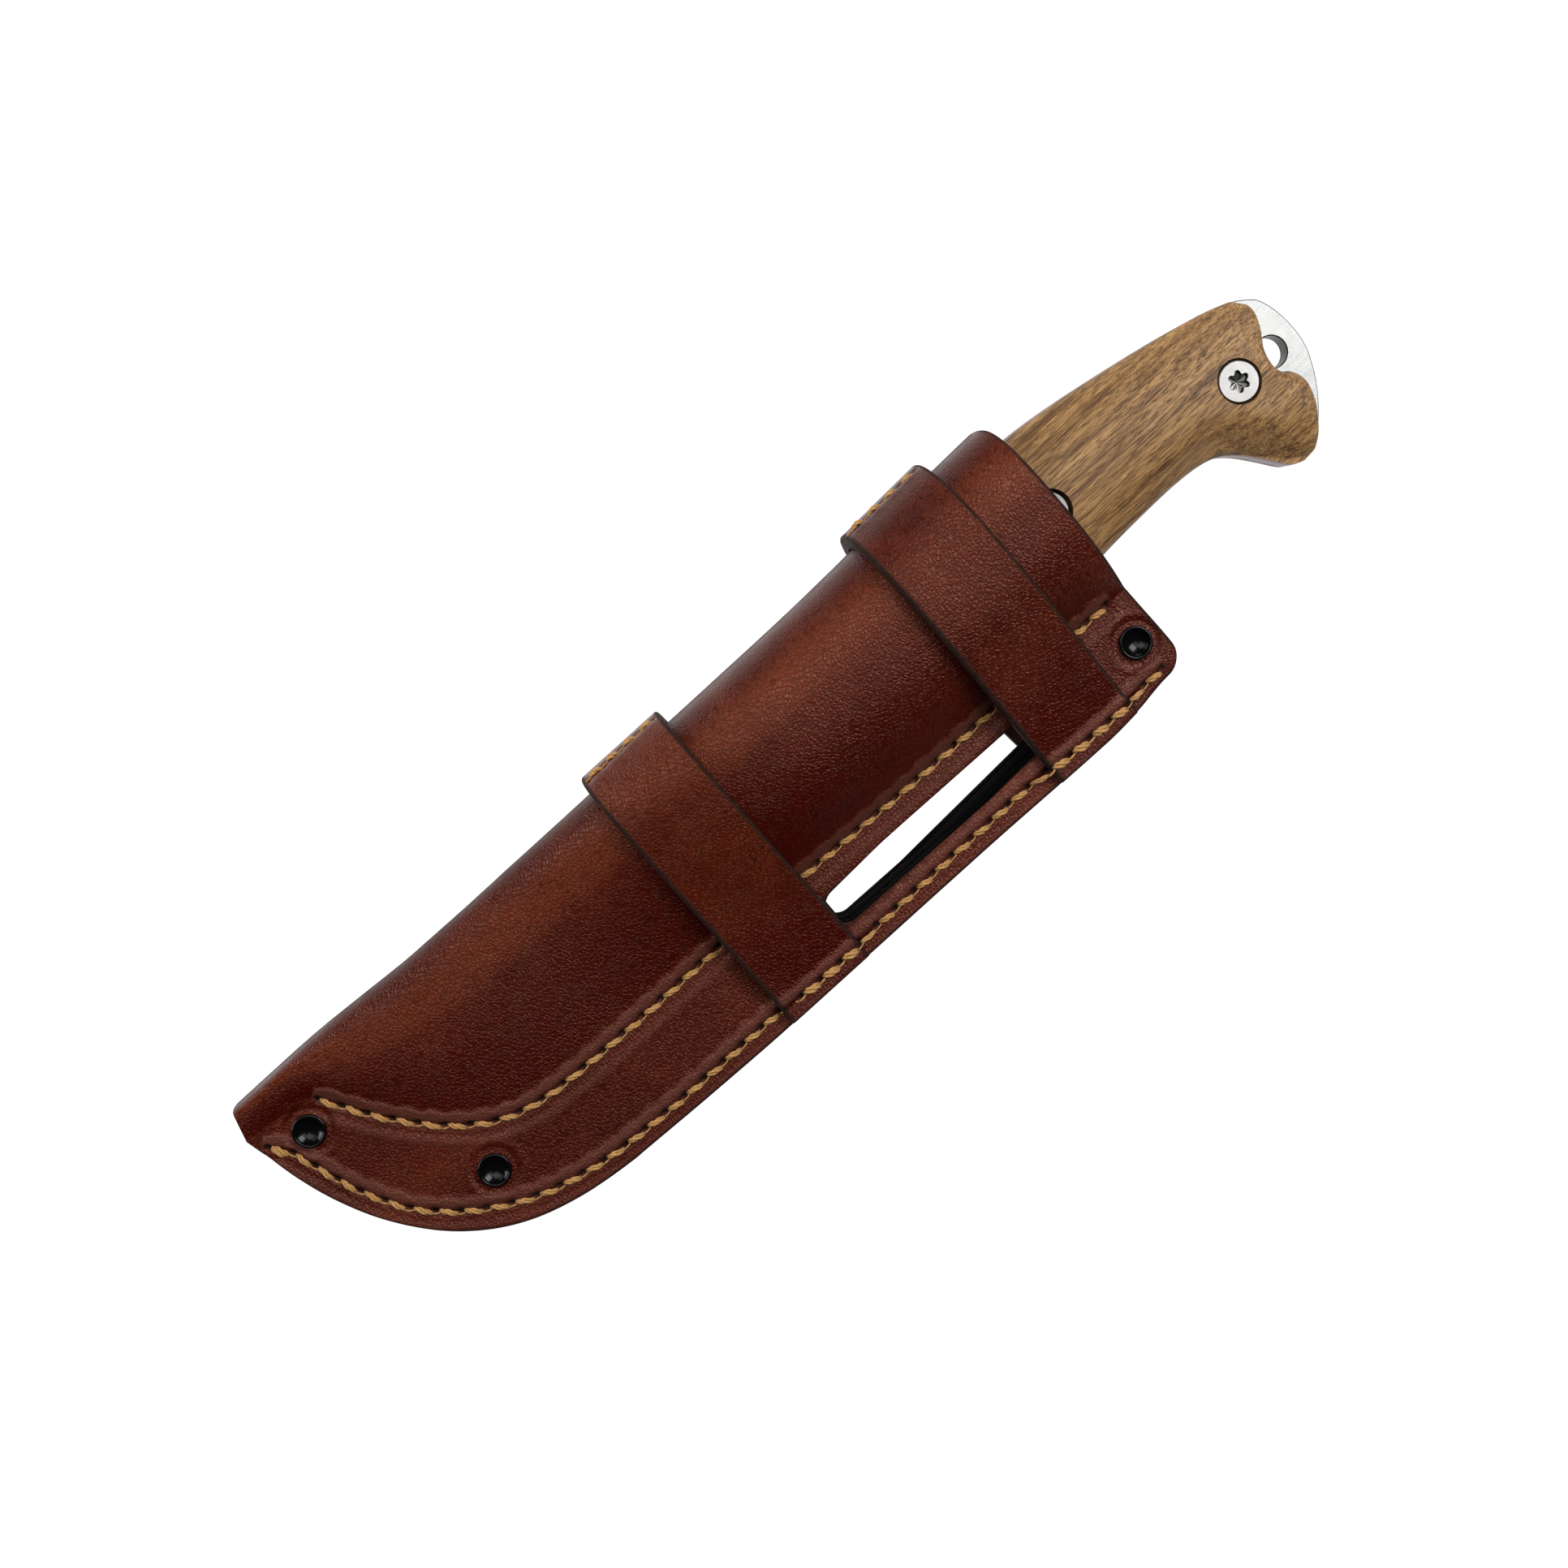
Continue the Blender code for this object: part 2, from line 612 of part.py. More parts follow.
def scale_outline():
    rear = [tuple(p) for p in smooth(SCALE_REAR, 2)]
    top = [tuple(p) for p in smooth(HANDLE_TOP[:-1], 3)][3:]
    under = [tuple(p) for p in smooth(HANDLE_UNDER, 3)]
    nose = [(123.6, -28.4), (124.6, -21.0), (125.0, -15.0), (124.8, -8.0), (124.8, -0.4)]
    start = next(i for i, p in enumerate(under) if p[0] < 240.5)
    end = next(i for i, p in enumerate(under) if p[0] < 124.0)
    return top + rear + under[start:end] + nose


def make_blade_tang():
    """Blade and tang are one piece of steel: a ground blade joined to a flat, drilled tang."""
    holes = [circle(x, y, BOLT_SLEEVE + GAP) for x, y in BOLTS] + [circle(*LANYARD)]
    steel = as_mesh(plate("blade_tang", [tang_outline()] + holes, -STEEL / 2, STEEL / 2))
    rings = []
    for x in (TIP_X, 19.6, 21.5, 24, 27, 30.5, 35, 41, 48, 57, 72, 90, GRIND_START, 113, 116.5):
        top, edge = follow(BLADE_SPINE, x), follow(BLADE_EDGE, x)
        full = STEEL / 2 - 0.05
        thick = full * min(1.0, 0.3 + 0.7 * (x - TIP_X) / 34)
        plunge = min(max((x - GRIND_START) / 4, 0.0), 1.0)
        keen = 0.2 + (full - 0.2) * plunge
        grind = top + (edge - top) * 0.36
        rings.append([(x, top, thick), (x, grind, thick), (x, edge, keen),
                      (x, edge, -keen), (x, grind, -thick), (x, top, -thick)])
    combine(steel, loft("blade_form", rings), "UNION")
    return steel


def crown_ring(x, middle, half_height, half_thick, sides=28):
    ring = []
    for k in range(sides):
        t = 2 * math.pi * k / sides
        ring.append((x, middle + half_height * math.cos(t), half_thick * math.sin(t)))
    return ring


def make_scale(name, side):
    """A walnut scale: the handle's outline, crowned, with a seat for each bolt's head."""
    low = STEEL / 2 + LINER + 2 * FLAT_GAP
    bottom, top = sorted((side * low, side * (HANDLE_HALF + 2)))
    scale = as_mesh(plate(name, [scale_outline()], bottom, top))
    combine(scale, loft(name + "_crown", [crown_ring(*c) for c in CROWN]), "INTERSECT")
    shafts = [circle(x, y, BOLT_SLEEVE + GAP) for x, y in BOLTS]
    cut_holes(scale, shafts, bottom - 1, top + 1, name + "_bolt_cutter")
    seat = BOLT_TOP - BOLT_HEAD_DEPTH - GAP
    seat_low, seat_high = sorted((side * seat, side * (HANDLE_HALF + 3)))
    seats = [circle(x, y, BOLT_SEAT) for x, y in BOLTS]
    cut_holes(scale, seats, seat_low, seat_high, name + "_seat_cutter")
    return scale


def make_liner(name, side):
    low = STEEL / 2 + FLAT_GAP
    bottom, top = sorted((side * low, side * (low + LINER)))
    holes = [circle(x, y, BOLT_SLEEVE + GAP) for x, y in BOLTS]
    return plate(name, [scale_outline()] + holes, bottom, top)


def make_bolt(number, x, y):
    """A screw in front, threaded into a sleeve nut from behind, both with a lobed socket."""
    under = BOLT_TOP - BOLT_HEAD_DEPTH
    sleeve_top = under - GAP
    screw_profile = [(0, BOLT_TOP), (BOLT_HEAD - 0.3, BOLT_TOP), (BOLT_HEAD, BOLT_TOP - 0.3),
                     (BOLT_HEAD, under), (BOLT_SHANK, under), (BOLT_SHANK, -4), (0, -4)]
    nut_profile = [(0, -under + 0.6), (BOLT_BORE, -under + 0.6), (BOLT_BORE, sleeve_top),
                   (BOLT_SLEEVE, sleeve_top), (BOLT_SLEEVE, -under), (BOLT_HEAD, -under),
                   (BOLT_HEAD, -BOLT_TOP + 0.3), (BOLT_HEAD - 0.3, -BOLT_TOP), (0, -BOLT_TOP)]
    made = []
    for kind, profile, side in (("screw", screw_profile, 1), ("nut", nut_profile, -1)):
        name = "bolt_" + number + "_" + kind
        bolt = as_mesh(turned(name, profile, x, y))
        floor, face = sorted((side * (BOLT_TOP - DRIVE_DEPTH), side * (BOLT_TOP + 1)))
        cut_holes(bolt, [lobed_star(x, y, DRIVE_RADIUS)], floor, face, name + "_drive_cutter")
        made.append(bolt)
    return made


# ---------------------------------------------------------------- assembly

def build_sheath():
    leather = make_material("sheath_leather", LEATHER_BROWN)
    strap_leather = make_material("strap_leather", STRAP_BROWN)
    thread = make_material("waxed_thread", THREAD_GOLD)
    black = make_material("black_metal", RIVET_BLACK)
    finish_part(make_panel(), sheath_frame, leather)
    finish_part(make_welt(), sheath_frame, make_material("welt_leather", WELT_DARK))
    finish_part(make_strap("strap_lower", STRAP_LOWER), sheath_frame, strap_leather)
    finish_part(make_strap("strap_upper", STRAP_UPPER), sheath_frame, strap_leather)
    for seam in make_threads():
        finish_part(seam, sheath_frame, thread)
    for rivet in make_rivets():
        finish_part(rivet, sheath_frame, black)


def build_knife():
    walnut = make_material("walnut", WALNUT)
    red = make_material("red_fibre", LINER_RED)
    steel = make_material("satin_steel", SATIN_STEEL)
    finish_part(make_blade_tang(), knife_frame, steel)
    for face, side in (("front", 1), ("back", -1)):
        finish_part(make_liner("liner_" + face, side), knife_frame, red)
        finish_part(make_scale("scale_" + face, side), knife_frame, walnut)
    for number, (x, y) in zip(("front", "middle", "rear"), BOLTS):
        for piece in make_bolt(number, x, y):
            finish_part(piece, knife_frame, steel)


clear_scene()
parts = make_collection("sheathed_knife")
cutters = make_collection("cutters")
sheath_frame = make_frame("sheath_frame")
knife_frame = make_frame("knife_frame")
build_sheath()
build_knife()
for cutter in cutters.objects:
    cutter.parent = knife_frame if cutter.name.startswith(("blade", "scale", "bolt")) else sheath_frame
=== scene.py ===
"""Looks of the sheathed hunting knife: fine leather, thread, walnut and steel round the CAD frame.

Lengths are millimetres in the design frame, as in the part: X runs from the sheath's tip to the
knife's butt, Y rises towards the back of the blade, Z comes out of the sheath's front.
"""
import math

import bmesh
import bpy
import numpy as np
from mathutils import Matrix, Vector, geometry, noise


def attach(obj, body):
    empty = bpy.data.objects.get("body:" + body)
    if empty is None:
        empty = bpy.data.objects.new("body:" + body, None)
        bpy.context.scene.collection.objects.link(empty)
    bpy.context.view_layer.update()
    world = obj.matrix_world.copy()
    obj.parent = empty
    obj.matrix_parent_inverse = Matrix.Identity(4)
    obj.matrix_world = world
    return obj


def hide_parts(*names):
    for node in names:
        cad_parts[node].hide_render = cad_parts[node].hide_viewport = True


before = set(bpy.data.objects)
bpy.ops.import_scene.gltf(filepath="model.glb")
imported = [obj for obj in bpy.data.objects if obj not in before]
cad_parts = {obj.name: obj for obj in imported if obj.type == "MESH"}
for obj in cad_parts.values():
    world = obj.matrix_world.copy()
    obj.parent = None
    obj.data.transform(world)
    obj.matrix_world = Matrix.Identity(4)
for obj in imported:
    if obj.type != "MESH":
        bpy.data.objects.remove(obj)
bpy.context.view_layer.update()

MM = 0.001
ORIGIN = np.array((-127.87, 23.50, 21.7))      # the design frame's zero in the world
RANDOM = np.random.default_rng(11)

# Camera: where it looks, how far off it is, and its tilt and roll in degrees
VIEW_POINT = (122.8, -20.3, 0.0)
CAMERA_REACH = 400.0
SENSOR = 36.0
FOCAL_WIDTHS = 1.325                            # focal length over the sensor's width
CAMERA_TILT = 6.0
CAMERA_ROLL = 42.4

# Light in metres, degrees and watts: a sky that fades from the horizon up between two slopes, a glowing
# floor, and square soft boxes as (name, azimuth, elevation, power)
SKY_LOW = 0.9
SKY_HIGH = 0.02
SKY_FADE = (0.05, 0.16)
FLOOR_REACH = 4.0
FLOOR_Z = -0.0002
BOX_REACH = 0.8
BOX_SIZE = 0.4
SOFT_BOXES = (("low_left", 135, 14, 4.5), ("low_top", 45, 14, 0.9), ("right", 0, 50, 5.8),
              ("high_right", 0, 70, 1.2), ("high_top", 90, 70, 1.8), ("middle_top", 110, 50, 0.8))

# Sheath form, as in the part
PANEL = 2.7
FLANGE = 5.1
MOUTH_X = 196.2
CORNER = 4.6
BLADE_SWELL = 6.2
HANDLE_SWELL = 14.0
SWELL_START = 66.0
SWELL_END = 130.0
FOLD_POWER = 2.5
SWELL_POWER = 2.6
FOLD_LINE = ((4, 5.2), (20, 5.2), (50, 3.7), (75, 3.5), (130, 3.5), (150, 3.7), (185, 5.0), (197, 5.2))
SEAM_LINE = ((54, -33.8), (72, -34.2), (92, -34.3), (113, -35.1), (143, -36.1), (197, -36.1))
EDGE_LINE = ((55, -54.0), (72, -54.7), (92, -55.2), (143, -55.5), (174, -56.0), (182, -55.6),
             (190, -54.6), (197, -54.2))
# Cross-sections near the tip: (fold x, seam x, seam y, edge x, edge y)
TIP_ROWS = (
    (4.2, 2.2, -0.8, 1.9, -1.2),
    (7.0, 5.6, -1.4, 3.0, -7.0),
    (10.0, 9.4, -1.9, 4.2, -13.4),
    (13.0, 13.0, -2.4, 6.2, -20.4),
    (16.0, 16.8, -3.3, 9.5, -28.2),
    (19.0, 19.7, -6.5, 13.7, -35.0),
    (22.5, 22.7, -12.0, 18.6, -40.8),
    (27.0, 27.1, -18.1, 24.6, -45.7),
    (32.0, 32.0, -24.2, 31.0, -49.2),
    (38.0, 37.8, -29.1, 37.8, -51.5),
    (45.0, 44.8, -32.4, 45.0, -53.0),
)
TIP_END = 54.0
SLOT = (112.2, 167.0, -44.7, 7.0)               # x from, x to, middle y, width
SLOT_LEAN = 0.14
CUTTER_REACH = 12.0
STRAP = 2.7
STRAP_GAP = 0.45
GAP = 0.3
STRAP_LOWER = (93.3, 94.6, 19.6)                # x at the flange, x at the fold, width
STRAP_UPPER = (162.1, 162.5, 20.0)
LOOP_FLAT = (-8.0, -31.0)                       # y of a loop's flat back
LOOP_DEPTH = 19.0
STRAP_END = 0.5

# Seams
PITCH = 4.95                                    # one stitch
THREAD_SINK = 0.30                              # of the stitches into the leather
THREAD_SLANT = 0.36
THREAD_TURNS = 0.62
STRAND_SIDES = 7
CREST_STITCHES = 4
CREST_PITCH = 4.3
CREST_Z = 4.2                                   # the crest seams' groove
CREST_TOP = 4.6                                 # their thread lies just below this
POCKET_SEAM = ((17.0, -4.2), (19.2, -7.8), (22.2, -13.0), (25.0, -17.0), (28.2, -21.2),
               (31.9, -25.2), (35.8, -28.4), (39.8, -30.9), (44.0, -32.5), (49.0, -33.5),
               (60.0, -34.3), (75.0, -34.6), (92.5, -34.7), (112.8, -35.4), (143.3, -36.5),
               (170.0, -36.4), (191.3, -36.3))
EDGE_SEAM = ((3.9, -4.7), (6.1, -7.4), (7.6, -11.9), (8.9, -16.7), (10.7, -22.3), (13.0, -27.4),
             (15.6, -31.9), (18.6, -35.4), (21.8, -38.5), (25.3, -41.2), (29.3, -43.8),
             (33.3, -45.9), (37.4, -47.5), (41.4, -48.7), (46.5, -49.8), (52.0, -50.6),
             (61.8, -51.3), (72.0, -51.6), (92.4, -51.8), (112.8, -52.2), (153.6, -52.1),
             (174.0, -52.8), (191.4, -52.7))
RIVETS = (("tip", 12.1, -7.6), ("belly", 32.4, -37.0), ("mouth", 190.7, -45.3))
RIVET_HOLE = 2.6

# Knife, as in the part
STEEL = 4.5
LINER = 0.8
FLAT_GAP = 0.1
HANDLE_HALF = 10.4
TIP_X = 18.5
HEEL_X = 115.5
GRIND_START = 110.0
BOLTS = ((150.8, -14.8), (194.0, -15.2), (237.2, -21.2))
BOLT_HEAD = 4.05
BOLT_SEAT = 4.4
BOLT_TOP = 8.9
BOLT_HEAD_DEPTH = 2.2
BOLT_SLEEVE = 2.75
DRIVE_RADIUS = 2.15
DRIVE_DEPTH = 1.3
# painted shade down the bolt socket, level by level
SOCKET_SHADE = (0.25, 0.45, 0.65, 0.4)
SCALE_FOOT = STEEL / 2 + LINER + 2 * FLAT_GAP
AXIS = 0.02                                     # the smallest ring of a turned piece
WELD = 0.002
LANYARD = (247.5, -21.9, 3.1)                   # x, y, radius
BLADE_SPINE = ((18, -1.6), (25, -1.0), (40, -0.6), (60, -0.4), (120, -0.4))
BLADE_EDGE = ((18, -1.8), (20, -3.9), (24, -9.2), (29, -15.6), (34.5, -21.2), (41, -26.1),
              (48, -29.1), (57, -30.6), (72, -31.0), (120, -31.0))
HANDLE_TOP = ((122, -0.3), (150, 0.0), (190, 0.1), (205, -0.5), (225, -3.7), (240, -6.9),
              (247, -9.2), (250.4, -11.2))
BUTT = ((252.4, -13.4), (253.7, -18.4), (253.6, -24.6), (251.6, -30.0), (248.6, -34.8),
        (244.6, -39.2), (241.0, -41.5))
HANDLE_UNDER = ((238.3, -41.5), (235.8, -40.2), (232.8, -36.2), (229.4, -32.1), (225.4, -29.4),
                (219.0, -28.15), (208.0, -28.05), (195.0, -28.9), (178.0, -30.4), (160.0, -30.9),
                (146.0, -29.4), (137.0, -27.9), (130.5, -29.2), (126.6, -32.2), (123.4, -33.0),
                (120.8, -31.4))
SCALE_REAR = ((249.0, -11.7), (249.0, -13.8), (247.6, -16.8), (245.2, -20.2), (244.5, -23.4),
              (245.2, -25.4), (246.7, -26.5), (247.6, -28.4), (247.6, -30.8), (246.4, -34.4),
              (243.6, -38.6), (241.0, -41.2))
# A scale's cross-sections: (x, middle y, half width, height)
CROWN = ((124.2, -15.4, 15.8, 6.0), (126.5, -15.4, 17.2, 8.6), (131, -15.0, 17.2, 9.9),
         (140, -14.7, 16.6, HANDLE_HALF), (160, -15.0, 17.6, HANDLE_HALF),
         (180, -15.2, 17.6, HANDLE_HALF), (200, -14.6, 16.6, HANDLE_HALF),
         (215, -15.4, 16.4, HANDLE_HALF), (226, -17.6, 17.6, 10.1), (236, -22.5, 22.5, 9.6),
         (243.3, -25.0, 23.2, 8.9), (246.7, -25.5, 23.0, 8.1), (252, -25.5, 22.5, 7.0))


# ---- curves



def profile(line):
    """A smooth line through (x, y) points that never overshoots, as a quick function of arrays."""
    x, y = np.array(line, float).T
    rises = np.diff(y) / np.diff(x)
    before, after = rises[:-1], rises[1:]
    turning = before * after <= 0
    between = np.where(turning, 0, 2 * before * after / np.where(turning, 1, before + after))
    slopes = np.concatenate([rises[:1], between, rises[-1:]])
    xs = np.arange(x[0], x[-1] + 0.1, 0.2)
    i = np.clip(np.searchsorted(x, xs) - 1, 0, len(x) - 2)
    step = x[i + 1] - x[i]
    t = np.clip((xs - x[i]) / step, 0, 1)
    ys = y[i] + (y[i + 1] - y[i]) * t * t * (3 - 2 * t)
    ys += step * (t * (1 - t) ** 2 * slopes[i] - t * t * (1 - t) * slopes[i + 1])
    return lambda at: np.interp(at, xs, ys)


def smooth(points, steps):
    """Points along a Catmull-Rom curve through the given points, steps to a span."""
    keys = np.array(points, float)
    padded = np.vstack([keys[:1], keys, keys[-1:]])
    t = (np.arange(steps) / steps)[:, None]
    spans = [0.5 * (2 * b + (c - a) * t + (2 * a - 5 * b + 4 * c - d) * t ** 2
                    + (3 * b - a - 3 * c + d) * t ** 3)
             for a, b, c, d in zip(padded, padded[1:], padded[2:], padded[3:])]
    return np.vstack(spans + [keys[-1:]])


def path_length(path):
    return np.linalg.norm(np.diff(path, axis=0), axis=1).sum()


def even(points, step):
    """The same path in even steps, and the length to each of its points."""
    lengths = np.concatenate([[0], np.cumsum(np.linalg.norm(np.diff(points, axis=0), axis=1))])
    count = max(2, int(round(lengths[-1] / step)) + 1)
    goals = np.linspace(0, lengths[-1], count)
    return np.stack([np.interp(goals, lengths, values) for values in points.T], 1), goals


def ease(x, low, high):
    t = np.clip((x - low) / (high - low), 0, 1)
    return t * t * (3 - 2 * t)


def bump(x, width):
    return np.exp(-(x / width) ** 2)


def rough(points, size, seed=0.0):
    """Smooth noise of about 1 over features of the given size."""
    shift = Vector((seed, seed * 1.7, -seed))
    flat = np.asarray(points, float).reshape(-1, 3) / size
    values = [noise.noise(Vector(p) + shift) for p in flat.tolist()]
    return np.array(values).reshape(np.asarray(points).shape[:-1])


fold_height = profile(FOLD_LINE)
seam_height = profile(SEAM_LINE)
edge_line = profile(EDGE_LINE)


def swell(x):
    return BLADE_SWELL + (HANDLE_SWELL - BLADE_SWELL) * ease(x, SWELL_START, SWELL_END)


def crest_share(x):
    return 0.82 - 0.20 * ease(x, SWELL_START, SWELL_END)


def edge_height(x):
    run = np.clip(x - (MOUTH_X - CORNER), 0, CORNER)
    return edge_line(x) + CORNER - np.sqrt(np.maximum(0, CORNER ** 2 - run ** 2))


# ---- meshes

def grid_faces(columns, rows, start=0):
    """Quads over a grid of points kept column by column."""
    a = start + np.arange(columns - 1)[:, None] * rows + np.arange(rows - 1)[None, :]
    return np.stack((a, a + rows, a + rows + 1, a + 1), -1).reshape(-1, 4).tolist()


def shell_faces(columns, width, picks):
    """A fine outer grid, an inner grid of the picked rows behind it, and the rim between them."""
    start, narrow = columns * width, len(picks)
    faces = grid_faces(columns, width) + grid_faces(columns, narrow, start)
    for k in range(columns - 1):
        for a, b in ((0, 0), (width - 1, narrow - 1)):
            behind = start + k * narrow + b
            faces.append([k * width + a, behind, behind + narrow, (k + 1) * width + a])
    for k in (0, columns - 1):
        for j in range(narrow - 1):
            rim = [k * width + m for m in range(picks[j], picks[j + 1] + 1)]
            behind = start + k * narrow + j
            faces.append(rim + [behind + 1, behind])
    return faces


def wall(upper, lower):
    """Quads between two rings of point numbers."""
    return np.stack([upper, lower, np.roll(lower, -1), np.roll(upper, -1)], 1).tolist()


def tube_faces(rings, size, start=0):
    """Quads between rings of points, and a face across each end."""
    numbers = start + np.arange(rings * size).reshape(rings, size)
    faces = [numbers[0].tolist(), numbers[-1].tolist()]
    for upper, lower in zip(numbers, numbers[1:]):
        faces += wall(upper, lower)
    return faces


def add_object(name, data):
    obj = bpy.data.objects.new(name, data)
    bpy.context.scene.collection.objects.link(obj)
    return obj


def add_piece(name, points, faces, material, attributes=None):
    mesh = bpy.data.meshes.new(name)
    places = (np.asarray(points, float) + ORIGIN) * MM
    mesh.from_pydata(places.tolist(), [], faces)
    for label, values in (attributes or {}).items():
        layer = mesh.attributes.new(label, "FLOAT", "POINT")
        layer.data.foreach_set("value", np.asarray(values, np.float32).ravel())
    mesh.materials.append(material)
    mesh.validate()
    mesh.shade_smooth()
    return add_object(name, mesh)


def rework(obj, change):
    """Change a piece's mesh through bmesh."""
    bm = bmesh.new()
    bm.from_mesh(obj.data)
    change(bm)
    bm.to_mesh(obj.data)
    bm.free()


def outward(obj, sharp=None):
    """Turn the faces outward, and keep edges sharper than the given angle crisp."""
    rework(obj, lambda bm: bmesh.ops.recalc_face_normals(bm, faces=bm.faces))
    if sharp:
        obj.data.set_sharp_from_angle(angle=math.radians(sharp))
    return obj


def carve(obj, cutter):
    """Cut a closed mesh out of a piece, and remove the cutter."""
    change = obj.modifiers.new("cut", "BOOLEAN")
    change.operation = "DIFFERENCE"
    change.solver = "EXACT"
    change.object = cutter
    change.material_mode = "TRANSFER"
    bpy.context.view_layer.update()
    graph = bpy.context.evaluated_depsgraph_get()
    cut = bpy.data.meshes.new_from_object(obj.evaluated_get(graph), preserve_all_data_layers=True,
                                          depsgraph=graph)
    obj.modifiers.clear()
    obj.data = cut
    bpy.data.objects.remove(cutter, do_unlink=True)
    return obj


def normals_of(grid):
    n = np.cross(np.gradient(grid, axis=0), np.gradient(grid, axis=1))
    return n / np.maximum(np.linalg.norm(n, axis=-1, keepdims=True), 1e-9)


def openings(rivet_hole=None):
    """Cutter for the belt slot, which leans towards the fold at the back, and the rivet holes."""
    slot = stadium(*SLOT)
    share = (slot[:, 0] - SLOT[0]) / (SLOT[1] - SLOT[0])
    outlines = [(slot, SLOT_LEAN * (0.55 + 0.90 * share))]
    if rivet_hole:
        outlines += [(circle(x, y, rivet_hole, 32), np.zeros(32)) for _, x, y in RIVETS]
    points, faces = [], []
    for outline, leans in outlines:
        faces += tube_faces(2, len(outline), len(points))
        points += [(x, y + slope * (FLANGE - z), z) for z in (-CUTTER_REACH, CUTTER_REACH)
                   for (x, y), slope in zip(outline, leans)]
    return outward(add_piece("openings", points, faces, raw_edge))


def stadium(x_low, x_high, y, width, sides=16):
    r = width / 2
    turn = np.pi * np.arange(sides + 1) / sides - np.pi / 2
    right = np.stack([x_high - r + r * np.cos(turn), y + r * np.sin(turn)], 1)
    left = np.stack([x_low + r - r * np.cos(turn), y - r * np.sin(turn)], 1)
    return np.vstack([left, right])


def circle(x, y, radius, sides=64):
    t = 2 * np.pi * np.arange(sides) / sides
    return np.stack([x + radius * np.cos(t), y + radius * np.sin(t)], 1)


# ---- materials

class Nodes:
    """A short way to write a node tree: call it with a node type, links and settings."""

    def __init__(self, name):
        self.material = bpy.data.materials.new(name)
        self.material.use_nodes = True
        self.tree = self.material.node_tree
        self.shader = self.tree.nodes["Principled BSDF"]
        self.place = self("ShaderNodeTexCoord").outputs["Object"]

    def __call__(self, kind, inputs=None, **settings):
        node = self.tree.nodes.new(kind)
        for key, value in settings.items():
            setattr(node, key, value)
        for key, value in (inputs or {}).items():
            self.set(node.inputs[key], value)
        return node

    def set(self, socket, value):
        if isinstance(value, bpy.types.NodeSocket):
            self.tree.links.new(value, socket)
        else:
            socket.default_value = value

    def scaled(self, scale=(1, 1, 1), turn=(0, 0, 0)):
        """Coordinates in millimetres times the scale."""
        scale = [s / MM for s in scale]
        mapping = self("ShaderNodeMapping", {"Vector": self.place, "Scale": scale, "Rotation": turn})
        return mapping.outputs["Vector"]

    def noise(self, scale, detail=3.0, roughness=0.55, distort=0.0, vector=None):
        inputs = {"Vector": vector or self.scaled(), "Scale": scale, "Detail": detail,
                  "Roughness": roughness, "Distortion": distort}
        return self("ShaderNodeTexNoise", inputs).outputs["Fac"]

    def cells(self, scale):
        """Distance from the edges of many small cells."""
        made = self("ShaderNodeTexVoronoi", {"Vector": self.scaled(), "Scale": scale},
                    feature="DISTANCE_TO_EDGE")
        return made.outputs["Distance"]

    def ramp(self, value, stops):
        made = self("ShaderNodeValToRGB", {"Fac": value})
        band = made.color_ramp
        while len(band.elements) < len(stops):
            band.elements.new(0.5)
        for element, (place, colour) in zip(band.elements, stops):
            element.position = place
            element.color = (*colour, 1)
        return made.outputs["Color"]

    def level(self, value, low, high, out_low=0.0, out_high=1.0):
        made = self("ShaderNodeMapRange", {"Value": value, "From Min": low, "From Max": high,
                                           "To Min": out_low, "To Max": out_high})
        return made.outputs["Result"]

    def math(self, operation, a, b):
        return self("ShaderNodeMath", {0: a, 1: b}, operation=operation).outputs[0]

    def plus(self, a, b):
        return self.math("ADD", a, b)

    def times(self, a, b):
        return self.math("MULTIPLY", a, b)

    def mix(self, share, a, b):
        """Colour a, with the given share of colour b."""
        made = self("ShaderNodeMix", {"Factor": share, 6: a, 7: (*b, 1)}, data_type="RGBA")
        return made.outputs[2]

    def attribute(self, name):
        return self("ShaderNodeAttribute", attribute_name=name).outputs["Fac"]

    def relief(self, layers):
        """Bumps stacked on each other: (height, depth in millimetres)."""
        normal = None
        for height, depth in layers:
            inputs = {"Height": height, "Distance": depth * MM, "Strength": 1.0}
            if normal is not None:
                inputs["Normal"] = normal
            normal = self("ShaderNodeBump", inputs).outputs["Normal"]
        self.tree.links.new(normal, self.shader.inputs["Normal"])

    def finish(self, **sockets):
        for key, value in sockets.items():
            self.set(self.shader.inputs[key.replace("_", " ")], value)
        return self.material


def dimmed(colour, share):
    return [c * share for c in colour]


PAINTED_SHADE = (0.037, 0.0018, 0.0007)                  # painted shade on the swell's belly and along the fold's side
PAINTED_HIGHLIGHT = (0.125, 0.0240, 0.0080)                  # painted highlight on the swell's upper part and on the straps near the fold
PRESSED_SHEEN = (0.085, 0.030, 0.022)                 # painted sheen on the band that the sewing foot pressed
EDGE_BLACK_AND_SHADE = (0.003, 0.0024, 0.0022)             # dyed and rubbed black edges, and painted shade along the fold and in the awl holes
SHEEN = (1.0, 0.49, 0.37, 1.0)                  # warm reflections of its wax


